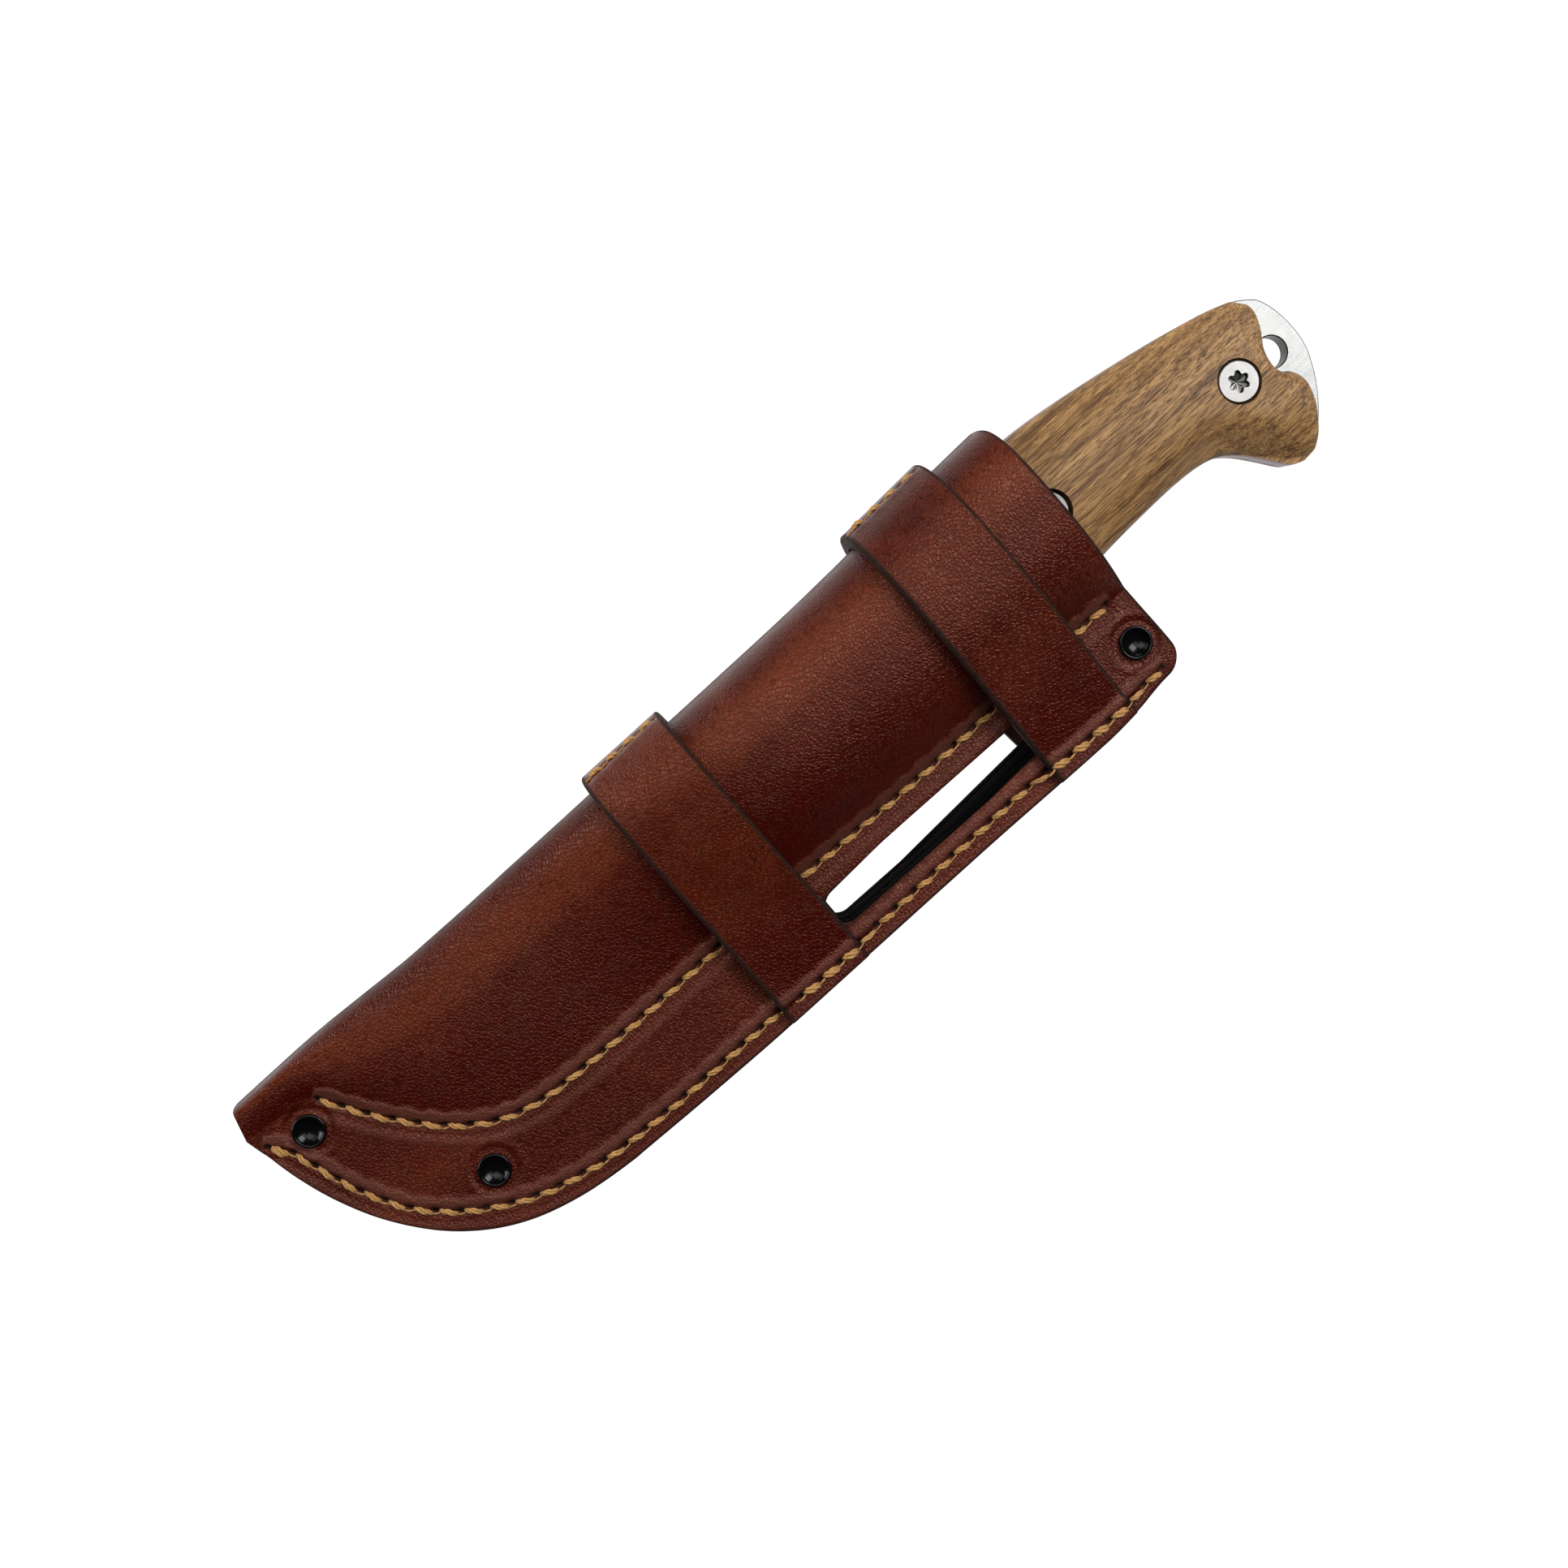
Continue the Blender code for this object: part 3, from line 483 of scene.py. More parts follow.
def make_leather(name, dark, middle, light):
    """Waxed pull-up leather: mottled red-brown, pebbled grain, black burnished edges, with painted light
    and shade on its swells and straps, painted sheen beside the seams and painted shade at the fold and in
    the awl holes.
    """
    n = Nodes(name)
    broad = n.noise(0.05, 4, 0.6, 0.8)
    cloud = n.noise(0.30, 4, 0.6, 0.4)
    grain = n.noise(2.3, 3, 0.6, 0.9)
    pebbles = n.level(n.cells(1.30), 0.02, 0.22)
    creases = n.noise(0.55, 5, 0.65, 1.6, n.scaled((0.45, 1.1, 1.0), (0, 0, 0.5)))
    mottle = n.plus(n.times(broad, 0.62), n.times(cloud, 0.38))
    colour = n.ramp(mottle, ((0.34, dark), (0.52, middle), (0.72, light)))
    colour = n.mix(n.times(n.level(grain, 0.40, 0.68), 0.35), colour, dimmed(dark, 0.7))
    # painted light and shade from the mesh, plus random cloudy tone: darker where light falls away, lighter
    # where it falls on
    shade = n.plus(n.attribute("painted_light_and_tone"), n.level(cloud, 0.3, 0.7, -0.15, 0.15))
    colour = n.mix(n.level(shade, -0.15, -1.0), colour, PAINTED_SHADE)
    colour = n.mix(n.level(shade, 0.15, 1.0), colour, PAINTED_HIGHLIGHT)
    lines = n.times(n.math("SUBTRACT", 1.0, pebbles), n.level(cloud, 0.35, 0.6, 0.15, 0.75))
    colour = n.mix(lines, colour, dimmed(dark, 0.45))
    # painted sheen on the pressed bands beside the seams
    colour = n.mix(n.times(n.attribute("press_sheen"), 0.55), colour, PRESSED_SHEEN)
    # black dyed edges, with painted shade along the fold and in the awl holes
    edge = n.attribute("black_edge_and_shade")
    ragged = n.times(n.math("SUBTRACT", n.noise(0.8), 0.5), n.times(edge, 1.2))
    edge = n.level(n.plus(edge, ragged), 0.0, 1.0)
    colour = n.mix(edge, colour, EDGE_BLACK_AND_SHADE)
    shine = n.plus(n.level(cloud, 0.3, 0.7, 0.22, 0.34), n.times(grain, 0.07))
    shine = n.plus(shine, n.times(edge, 0.5))
    n.relief(((creases, 0.10), (pebbles, 0.055), (grain, 0.030)))
    return n.finish(Base_Color=colour, Roughness=shine, Specular_IOR_Level=0.33, Specular_Tint=SHEEN)


def make_thread():
    n = Nodes("waxed_thread")
    fibre = n.noise(9.0, 3, 0.6, 0.3, n.scaled((0.35, 1.0, 1.0), (0, 0, 0.6)))
    colour = n.ramp(fibre, ((0.3, (0.15, 0.058, 0.010)), (0.5, (0.40, 0.190, 0.042)),
                            (0.72, (0.72, 0.44, 0.15))))
    # painted shade: the strands darken where they dive into the holes
    colour = n.mix(n.attribute("shade"), colour, (0.030, 0.012, 0.004))
    n.relief(((fibre, 0.16),))
    return n.finish(Base_Color=colour, Roughness=0.50, Specular_IOR_Level=0.4, Sheen_Weight=0.1)


def make_black():
    """Glossy black lacquer on the rivets."""
    n = Nodes("rivet_black")
    shine = n.level(n.noise(1.2), 0.3, 0.7, 0.12, 0.20)
    n.relief(((n.noise(4.0, 2), 0.006),))
    return n.finish(Base_Color=(0.002, 0.002, 0.0022, 1), Roughness=shine, Specular_IOR_Level=0.16)


def make_raw_edge():
    """Dyed and burnished cut leather: near black, with the layers' faint fibres."""
    n = Nodes("burnished_edge")
    fibre = n.noise(1.4, 5, 0.65, 0.5, n.scaled((0.35, 0.35, 2.2)))
    colour = n.ramp(fibre, ((0.35, (0.0006, 0.0005, 0.0005)), (0.62, (0.0016, 0.0013, 0.0012)),
                            (0.8, (0.008, 0.0050, 0.0040))))
    n.relief(((fibre, 0.18), (n.noise(3.0, 3), 0.06)))
    return n.finish(Base_Color=colour, Roughness=0.9, Specular_IOR_Level=0.02)


def make_walnut():
    """Oiled walnut, its grain turned a little below the handle's line."""
    n = Nodes("walnut")
    turn = (0, 0, math.radians(9.5))
    wander = n.noise(0.06, 3, 0.5)
    streaks = n.noise(1.0, 5, 0.62, 0.25, n.scaled((0.035, 0.75, 0.75), turn))
    fine = n.noise(3.8, 4, 0.70, 0.1, n.scaled((0.045, 1.0, 1.0), turn))
    pores = n.noise(4.6, 2, 0.5, 0.05, n.scaled((0.075, 1.0, 1.0), turn))
    figure = n.plus(n.times(streaks, 0.45), n.times(fine, 0.55))
    colour = n.ramp(figure, ((0.38, (0.056, 0.024, 0.008)), (0.46, (0.134, 0.067, 0.023)),
                             (0.53, (0.242, 0.132, 0.049)), (0.64, (0.350, 0.206, 0.082))))
    dashes = n.level(pores, 0.560, 0.64)
    colour = n.mix(n.times(dashes, 0.80), colour, (0.040, 0.017, 0.006))
    colour = n.mix(n.times(n.level(streaks, 0.40, 0.31), 0.72), colour, (0.055, 0.024, 0.009))
    colour = n.mix(n.times(n.level(wander, 0.4, 0.7), 0.15), colour, (0.28, 0.150, 0.055))
    n.relief(((n.math("SUBTRACT", 1.0, dashes), 0.05), (fine, 0.03)))
    return n.finish(Base_Color=colour, Roughness=n.level(fine, 0.3, 0.7, 0.42, 0.55),
                    Specular_IOR_Level=0.22)


def make_steel(name, colour, roughness, brush, along=(0.02, 1.0, 1.0)):
    """Satin steel: brushed one way, with faint cloudy handling marks and painted shade in the bolt sockets,
    on the tang's side walls and in its lanyard hole.
    """
    n = Nodes(name)
    lines = n.noise(6.0, 4, 0.7, 0.0, n.scaled(along))
    marks = n.level(n.noise(0.25, 4, 0.6, 0.5), 0.45, 0.75)
    base = n.mix(marks, (*colour, 1), dimmed(colour, 0.86))
    # painted shade in sockets and holes and on side walls
    base = n.mix(n.attribute("painted_steel_shade"), base, dimmed(colour, 0.08))
    shine = n.level(lines, 0.2, 0.8, roughness - 0.07, roughness + 0.10)
    n.relief(((lines, brush),))
    return n.finish(Base_Color=base, Metallic=1.0, Roughness=shine)


def make_fibre():
    n = Nodes("red_fibre")
    fibre = n.noise(3.0, 3, 0.6, 0.2, n.scaled((0.3, 0.3, 3.0)))
    colour = n.ramp(fibre, ((0.3, (0.34, 0.075, 0.085)), (0.7, (0.62, 0.22, 0.23))))
    n.relief(((fibre, 0.03),))
    return n.finish(Base_Color=colour, Roughness=0.5)


leather = make_leather("sheath_leather", (0.030, 0.0022, 0.0009), (0.056, 0.0056, 0.0018),
                       (0.098, 0.0165, 0.0056))
strap_leather = make_leather("strap_leather", (0.034, 0.0028, 0.0010), (0.064, 0.0076, 0.0022),
                             (0.104, 0.0190, 0.0060))
raw_edge = make_raw_edge()
thread_material = make_thread()
rivet_black = make_black()
walnut = make_walnut()
liner_red = make_fibre()
blade_steel = make_steel("satin_steel", (0.185, 0.188, 0.183), 0.36, 0.012)
bolt_steel = make_steel("bolt_steel", (0.190, 0.186, 0.181), 0.34, 0.006, (1.0, 0.1, 1.0))


# ---- seams

def from_hole(s, pitch):
    """Distance along a seam from its nearest hole."""
    return np.abs(s - np.round(s / pitch) * pitch)


def arch(s, pitch):
    """0 at a seam's holes and 1 halfway between them."""
    return np.abs(np.sin(np.pi * s / pitch))


class Seam:
    """A row of stitches along a line on the sheath, seen from the front."""

    def __init__(self, keys):
        self.points, self.along = even(smooth(keys, 12), 0.35)
        self.length = self.along[-1]
        count = int(round(self.length / PITCH))
        self.pitch = self.length / count
        self.holes = np.arange(count + 1) * self.pitch
        step = np.gradient(self.points, axis=0)
        self.heading = step / np.linalg.norm(step, axis=1, keepdims=True)

    def at(self, s):
        return np.array([np.interp(s, self.along, self.points[:, k]) for k in (0, 1)])

    def locate(self, xy):
        """Length along the seam and signed distance from it, to the left, of each point."""
        s, q = [], []
        flat = xy.reshape(-1, 2)
        for part in np.array_split(flat, len(flat) // 8000 + 1):
            gap = part[:, None, :] - self.points[None, :, :]
            nearest = (gap ** 2).sum(-1).argmin(1)
            offset = gap[np.arange(len(part)), nearest]
            way = self.heading[nearest]
            side = np.sign(way[:, 0] * offset[:, 1] - way[:, 1] * offset[:, 0])
            s.append(self.along[nearest] + (offset * way).sum(1))
            q.append(side * np.linalg.norm(offset, axis=1))
        return np.concatenate(s).reshape(xy.shape[:-1]), np.concatenate(q).reshape(xy.shape[:-1])

    def band(self, s, q):
        """The strip that the machine's foot presses beside the seam, scalloped at each stitch."""
        scallop = 0.55 * arch(s, self.pitch)
        return ease(q, 0.45, 1.0) * (1 - ease(q, 2.15 + scallop, 2.75 + scallop))

    def marks(self, xy):
        """How much painted sheen lies on the band that the foot pressed, and how much painted shade darkens
        the awl holes.
        """
        s, q = self.locate(xy)
        foot_sheen = self.band(s, q) + 0.45 * bump(q + 3.2, 0.8)
        holes = 1.5 * bump(from_hole(s, self.pitch), 0.80) * bump(q - 0.50, 0.55)
        return [np.clip(mark, 0, 1) * (s > -1) * (s < self.length + 1) for mark in (foot_sheen, holes)]

    def relief(self, xy):
        """How the pulled thread shapes the leather: a groove, a scalloped bead and the holes."""
        s, q = self.locate(xy)
        lift = 0.30 * self.band(np.clip(s, 0, self.length), q)
        lift += 0.10 * bump(q + 3.1, 0.9) - 0.26 * bump(q + 1.55, 0.95) - 0.50 * bump(q, 0.72)
        lift -= 0.80 * bump(from_hole(s, self.pitch), 0.62) * bump(q - 0.30, 0.50)
        return lift * ease(s, -1.5, 0.8) * (1 - ease(s, self.length - 0.8, self.length + 1.5))


pocket_seam = Seam(POCKET_SEAM)
edge_seam = Seam(EDGE_SEAM)


def rivet_relief(xy):
    """The ring that each rivet presses into the leather."""
    total = np.zeros(xy.shape[:-1])
    for _, x, y in RIVETS:
        r = np.hypot(xy[..., 0] - x, xy[..., 1] - y)
        total += -0.30 * bump(r - 4.2, 0.6) + 0.16 * bump(r - 5.5, 0.7) - 0.12 * (r < 3.4)
    return total


# ---- sheath panel

def panel_rows():
    """Rows across the sheath, close together: (fold x, seam x, seam y, edge x, edge y)."""
    body = [(x, x, seam_height(x), x, edge_height(x)) for x in (TIP_END, 64.0)]
    tip = smooth(list(TIP_ROWS) + body, 12)
    tip = tip[tip[:, 0] < TIP_END - 0.2]
    near_mouth = MOUTH_X - np.array((5.2, 4.6, 4.0, 3.4, 2.8, 2.2, 1.7, 1.25, 0.9, 0.6, 0.35, 0.15, 0.0))
    xs = np.concatenate([np.linspace(TIP_END, MOUTH_X - 5.8, 262), near_mouth])
    straight = np.stack([xs, xs, seam_height(xs), xs, edge_height(xs)], 1)
    return np.vstack([tip, straight])


FLANGE_STEPS = np.concatenate([(0, 0.008, 0.018, 0.032, 0.05, 0.072, 0.096), np.linspace(0.12, 0.977, 38)])
SWELL_STEPS = 1 - np.concatenate([np.arange(10) * 0.0145, np.linspace(0.148, 0.97, 25)])
FOLD_STEPS = np.radians(np.linspace(0, 90, 24))


def front_face(rows):
    """Smooth outer face of the front half, an array of (row, place in the section, xyz)."""
    fold_x, seam_x, seam_y, edge_x, edge_y = (rows[:, k:k + 1] for k in range(5))
    fold_y = fold_height(fold_x)
    share = crest_share(seam_x)
    crest_y = np.maximum(seam_y + share * (fold_y - seam_y), seam_y + 0.4)
    crest_z = np.where(seam_x > 12, swell(seam_x), FLANGE + (BLADE_SWELL - FLANGE) * seam_x / 12)

    t = FLANGE_STEPS[None, :]
    flange = np.stack([edge_x + (seam_x - edge_x) * t, edge_y + (seam_y - edge_y) * t,
                       FLANGE + 0 * (edge_x + t)], -1)
    s = SWELL_STEPS[None, :]
    rise_y = crest_y + (seam_y - crest_y) * s
    rise_z = FLANGE + (crest_z - FLANGE) * (1 - s ** SWELL_POWER)
    a = FOLD_STEPS[None, :]
    turn_y = crest_y + (fold_y - crest_y) * np.sin(a) ** (2 / FOLD_POWER)
    turn_z = crest_z * np.maximum(np.cos(a), 0) ** (2 / FOLD_POWER)
    y = np.concatenate([rise_y, turn_y], 1)
    z = np.concatenate([rise_z, turn_z], 1)
    x = seam_x + (fold_x - seam_x) * (y - seam_y) / (fold_y - seam_y)
    return np.concatenate([flange, np.stack([x, y, z], -1)], 1)


def edge_rounding(distance, radius):
    """How far a rounded edge drops below the flat, near it."""
    d = np.clip(distance, 0, radius)
    return radius - np.sqrt(radius ** 2 - (radius - d) ** 2)


def panel_looks(base, rows, on_flange, from_edge):
    """How black the panel's outer face is at each point, with painted shade along the fold and in the awl
    holes, how much painted sheen lies beside the seams, and how much painted light and shade it gets.
    """
    x, y, z = np.moveaxis(base, -1, 0)
    slot_reach = np.maximum(np.abs(y - SLOT[2]) - SLOT[3] / 2, np.maximum(SLOT[0] - x, x - SLOT[1]))
    by_cut = np.maximum(1 - ease(from_edge, 0.25, 0.75), 1 - ease(slot_reach, 0.1, 0.7))
    black_edge_and_shade = np.maximum(by_cut * on_flange, 1 - ease(MOUTH_X - x, 0.35, 0.95))
    seam_y, fold_y = rows[:, 2:3], fold_height(rows[:, 0:1])
    climb = np.where(on_flange, 0, (y - seam_y) / (fold_y - seam_y))
    # painted shade: a dark line along the side of the fold
    black_edge_and_shade = np.maximum(black_edge_and_shade, 0.6 * (climb > 0.8) * bump(z, 3.0))
    # painted shade on the swell's belly below the crest, fading out towards the mouth
    belly_shade = ease(climb, 0.02, 0.14) * (1 - ease(climb, 0.30, 0.70))
    belly_shade *= 1 - 0.8 * ease(x, 130, 170)
    # painted highlight between the crest and the fold, and painted shade along the fold's side
    painted_light_and_tone = 0.62 * ease(climb, 0.45, 0.80) - 0.60 * ease(climb, 0.82, 0.97) - 1.1 * belly_shade
    # the flange darkens towards the mouth
    painted_light_and_tone -= 0.8 * on_flange * ease(x, 150, 178)
    press_sheen = 0 * painted_light_and_tone
    for seam in (pocket_seam, edge_seam):
        foot_sheen, holes = seam.marks(base[..., :2])
        press_sheen = np.maximum(press_sheen, foot_sheen)
        # painted shade in the awl holes
        black_edge_and_shade = np.maximum(black_edge_and_shade, holes)
    return {"black_edge_and_shade": black_edge_and_shade, "press_sheen": press_sheen, "painted_light_and_tone": painted_light_and_tone}


def leather_shell(name, outer, inner, picks, material, looks, inner_black, sharp):
    """A leather piece with a fine outer face and a plain inner one at the picked rows."""
    columns, width = outer.shape[:2]
    points = np.vstack([outer.reshape(-1, 3), inner.reshape(-1, 3)])
    attributes = {label: np.append(values, 0 * inner_black) for label, values in looks.items()}
    attributes["black_edge_and_shade"][columns * width:] = inner_black.ravel()
    return outward(add_piece(name, points, shell_faces(columns, width, picks), material, attributes), sharp)


def make_panel():
    """The folded leather, with the pull of its seams and rivets, soft waves and a curled mouth."""
    rows = panel_rows()
    front = front_face(rows)
    base = np.concatenate([front, front[:, -2::-1] * (1, 1, -1)], 1)
    width = base.shape[1]
    place = np.arange(width)
    at_back = (place >= front.shape[1])[None, :, None]
    on_flange = (np.minimum(place, width - 1 - place) < len(FLANGE_STEPS))[None, :]
    xy, (x, y, z) = base[..., :2], np.moveaxis(base, -1, 0)
    normal = normals_of(base)

    lift = rivet_relief(xy) + pocket_seam.relief(xy) + edge_seam.relief(xy)
    seeded = base + 40.0 * at_back
    waves = 0.16 * rough(seeded, 15.0) + 0.07 * rough(seeded * (0.6, 1.0, 1.0), 5.0, 3.1)
    waves += 0.035 * rough(seeded, 2.2, 9.4)
    lift += waves * np.clip((np.abs(z) - FLANGE) / 3, 0.35, 1)
    from_edge = np.linalg.norm(base - front[:, :1] * np.where(at_back, (1, 1, -1), 1), axis=-1)
    lift -= on_flange * edge_rounding(from_edge, 0.7) + edge_rounding(MOUTH_X - x, 0.6)
    outer = base + normal * np.clip(lift, -1.1, 0.55)[..., None]
    picks = np.append(np.arange(0, width - 1, 5), width - 1)
    inner = base[:, picks] - normal[:, picks] * PANEL
    curl = 1.3 * ease(x, 182, MOUTH_X) * bump(z, 6.0) * (y > 0)
    outer[..., 0] -= curl
    inner[..., 0] -= curl[:, picks]

    looks = panel_looks(base, rows, on_flange, from_edge)
    inner_black = np.where(inner[..., 0] > MOUTH_X - 1.2, 1.0, 0.25)
    panel = leather_shell("leather_panel", outer, inner, picks, leather, looks, inner_black, 55)
    return carve(panel, openings(RIVET_HOLE))


# ---- welt

def flat_piece(name, outline, holes, low, high, material, spacing, bevel=0.0, painted_steel_shade=None):
    """A flat part with a fine outline, straight holes and a small bevel all round."""
    loops = [outline] + holes
    inset = [shrink(loop, -bevel if k else bevel) for k, loop in enumerate(loops)]
    points, triangles, sizes = fill(inset, spacing)
    n = len(points)
    verts = [np.column_stack([points, np.full(n, z)]) for z in (high, low)]
    faces = triangles + [[a + n for a in t] for t in triangles]
    # painted shade on the bevel walls, outline by outline
    wall_shades = [np.zeros(2 * n)]
    place, total = 0, 2 * n
    for loop, size, wall_shade in zip(loops, sizes, painted_steel_shade or [0.0] * len(loops)):
        ring = np.arange(size)
        levels = [place + ring, n + place + ring]
        if bevel:
            verts += [np.column_stack([loop, np.full(size, z)]) for z in (high - bevel, low + bevel)]
            wall_shades.append(np.full(2 * size, wall_shade))
            levels[1:1] = [total + ring, total + size + ring]
            total += 2 * size
        for upper, lower in zip(levels, levels[1:]):
            faces += wall(upper, lower)
        place += size
    attributes = {"painted_steel_shade": np.concatenate(wall_shades)}
    return outward(add_piece(name, np.vstack(verts), faces, material, attributes), 35)


def shrink(loop, distance):
    """Move an outline inward by a distance, or outward if it is negative."""
    step = np.roll(loop, -1, 0) - np.roll(loop, 1, 0)
    inward = np.stack([-step[:, 1], step[:, 0]], 1)
    inward /= np.maximum(np.linalg.norm(inward, axis=1, keepdims=True), 1e-9)
    x, y = loop.T
    area = np.sum(x * np.roll(y, -1) - np.roll(x, -1) * y)
    return loop + inward * distance * np.sign(area)


def inside(points, loop):
    """Which points lie inside an outline."""
    x, y = points.T[..., None]
    x0, y0 = loop.T[:, None]
    x1, y1 = np.roll(loop, -1, 0).T[:, None]
    with np.errstate(divide="ignore", invalid="ignore"):
        crossing = x < (x1 - x0) * (y - y0) / (y1 - y0) + x0
    return (((y0 > y) != (y1 > y)) & crossing).sum(1) % 2 == 1


def distance_to(points, loop):
    """Shortest distance of each point from an outline."""
    run = np.roll(loop, -1, 0) - loop
    squares = np.maximum((run ** 2).sum(-1), 1e-12)
    out = []
    for part in np.array_split(points, len(points) // 4000 + 1):
        gap = part[:, None, :] - loop
        t = np.clip((gap * run).sum(-1) / squares, 0, 1)
        out.append(np.linalg.norm(gap - run * t[..., None], axis=-1).min(1))
    return np.concatenate(out)


def fill(loops, spacing, extra=None):
    """Triangles inside the first outline and outside the others, and each outline's size."""
    def within(points):
        return inside(points, loops[0]) & ~np.any([inside(points, loop) for loop in loops[1:]], 0)

    low, high = loops[0].min(0), loops[0].max(0)
    xs = np.arange(low[0], high[0], spacing)
    ys = np.arange(low[1], high[1], spacing * 0.87)
    gx, gy = np.meshgrid(xs, ys)
    gx = gx + (np.arange(len(ys)) % 2)[:, None] * spacing / 2
    grid = np.stack([gx.ravel(), gy.ravel()], 1)
    grid = grid[within(grid)]
    for loop in loops:
        grid = grid[distance_to(grid, loop) > spacing * 0.6]
    if extra is not None:
        near = np.linalg.norm(grid[:, None] - extra[None], axis=-1).min(1)
        grid = np.vstack([grid[near > spacing * 0.55], extra])
    points = np.vstack(loops + [grid])
    sizes = [len(loop) for loop in loops]
    edges = []
    for size, end in zip(sizes, np.cumsum(sizes)):
        ring = np.arange(end - size, end)
        edges += zip(ring.tolist(), np.roll(ring, -1).tolist())
    found = geometry.delaunay_2d_cdt([Vector(p) for p in points.tolist()], edges, [], 0, 1e-6, True)
    if len(found[0]) != len(points):
        raise ValueError("an outline crosses itself")
    order = np.array([olds[0] for olds in found[3]])
    triangles = order[np.array(found[2])]
    triangles = triangles[within(points[triangles].mean(1))]
    return points, triangles.tolist(), sizes


def make_welt():
    """The black leather filler between the panel's two sides, all along the flange."""
    rows = panel_rows()
    lower = rows[:, 3:5] + (0.35, 0.35)
    lower[:, 0] = np.minimum(lower[:, 0], MOUTH_X - 0.4)
    lower = lower[rows[:, 0] > 7.2]
    seam = rows[(rows[:, 1] > 17.3) & (rows[:, 1] < MOUTH_X - 0.5)]
    upper = seam[:, 1:3] + (0.9, 1.1)
    outline = np.vstack([lower, upper[::-1], [(14.0, -3.6), (6.4, -3.4)], lower[:1]])
    half = FLANGE - PANEL - FLAT_GAP
    holes = [circle(x, y, 2.2, 24) for _, x, y in RIVETS]
    welt = flat_piece("leather_welt", even(outline, 0.8)[0][:-1], holes, -half, half, raw_edge, 3.0)
    return carve(welt, openings())


# ---- straps

def taut_over(points):
    """The part of a section that a tight strap touches: its upper convex hull."""
    hull = []
    for y, z in sorted(map(tuple, points)):
        while len(hull) > 1:
            (ay, az), (by, bz) = hull[-2:]
            if (by - ay) * (z - az) - (bz - az) * (y - ay) < 0:
                break
            hull.pop()
        hull.append((y, z))
    return np.array(hull)


def side_normals(path):
    step = np.gradient(path, axis=0)
    step /= np.maximum(np.linalg.norm(step, axis=1, keepdims=True), 1e-9)
    return np.stack([-step[:, 1], step[:, 0]], 1)


def strap_path(x):
    """Inner face of a strap at one x, as even (y, z) steps from the front end to the back end."""
    row = np.array([(x, x, seam_height(x), x, edge_height(x))])
    section = front_face(row)[0][:, 1:]
    section += side_normals(section) * STRAP_GAP
    fold_y = section[-1, 0]
    edge_y = section[0, 0] + STRAP_END
    sewn = SLOT[2] - SLOT[3] / 2 - 1
    free = np.vstack([[(sewn, FLANGE + GAP)], section[:-1][section[:-1, 0] > sewn], [(fold_y, 0.0)]])
    flat_a, flat_b = LOOP_FLAT
    loop = smooth([(fold_y, 0.0), (fold_y, -3.0), (fold_y - 1.0, -8.5), (fold_y - 4.0, -14.6),
                   (flat_a + 3.5, -LOOP_DEPTH + 1.1), (flat_a, -LOOP_DEPTH)], 10)
    ramp = smooth([(flat_b, -LOOP_DEPTH), (flat_b - 5, -LOOP_DEPTH + 1.4), (-44.0, -11.6),
                   (-48.5, -FLANGE - GAP - 1.2), (-50.5, -FLANGE - GAP), (edge_y, -FLANGE - GAP)], 10)
    path = np.vstack([[(edge_y, FLANGE + GAP)], taut_over(free)[:-1], loop, ramp])
    path[:, 1] = np.maximum(path[:, 1], -LOOP_DEPTH)
    fine, _ = even(path, 0.5)
    soft = fine.copy()
    for _ in range(10):
        soft[1:-1] = (soft[:-2] + 2 * soft[1:-1] + soft[2:]) / 4
    return soft


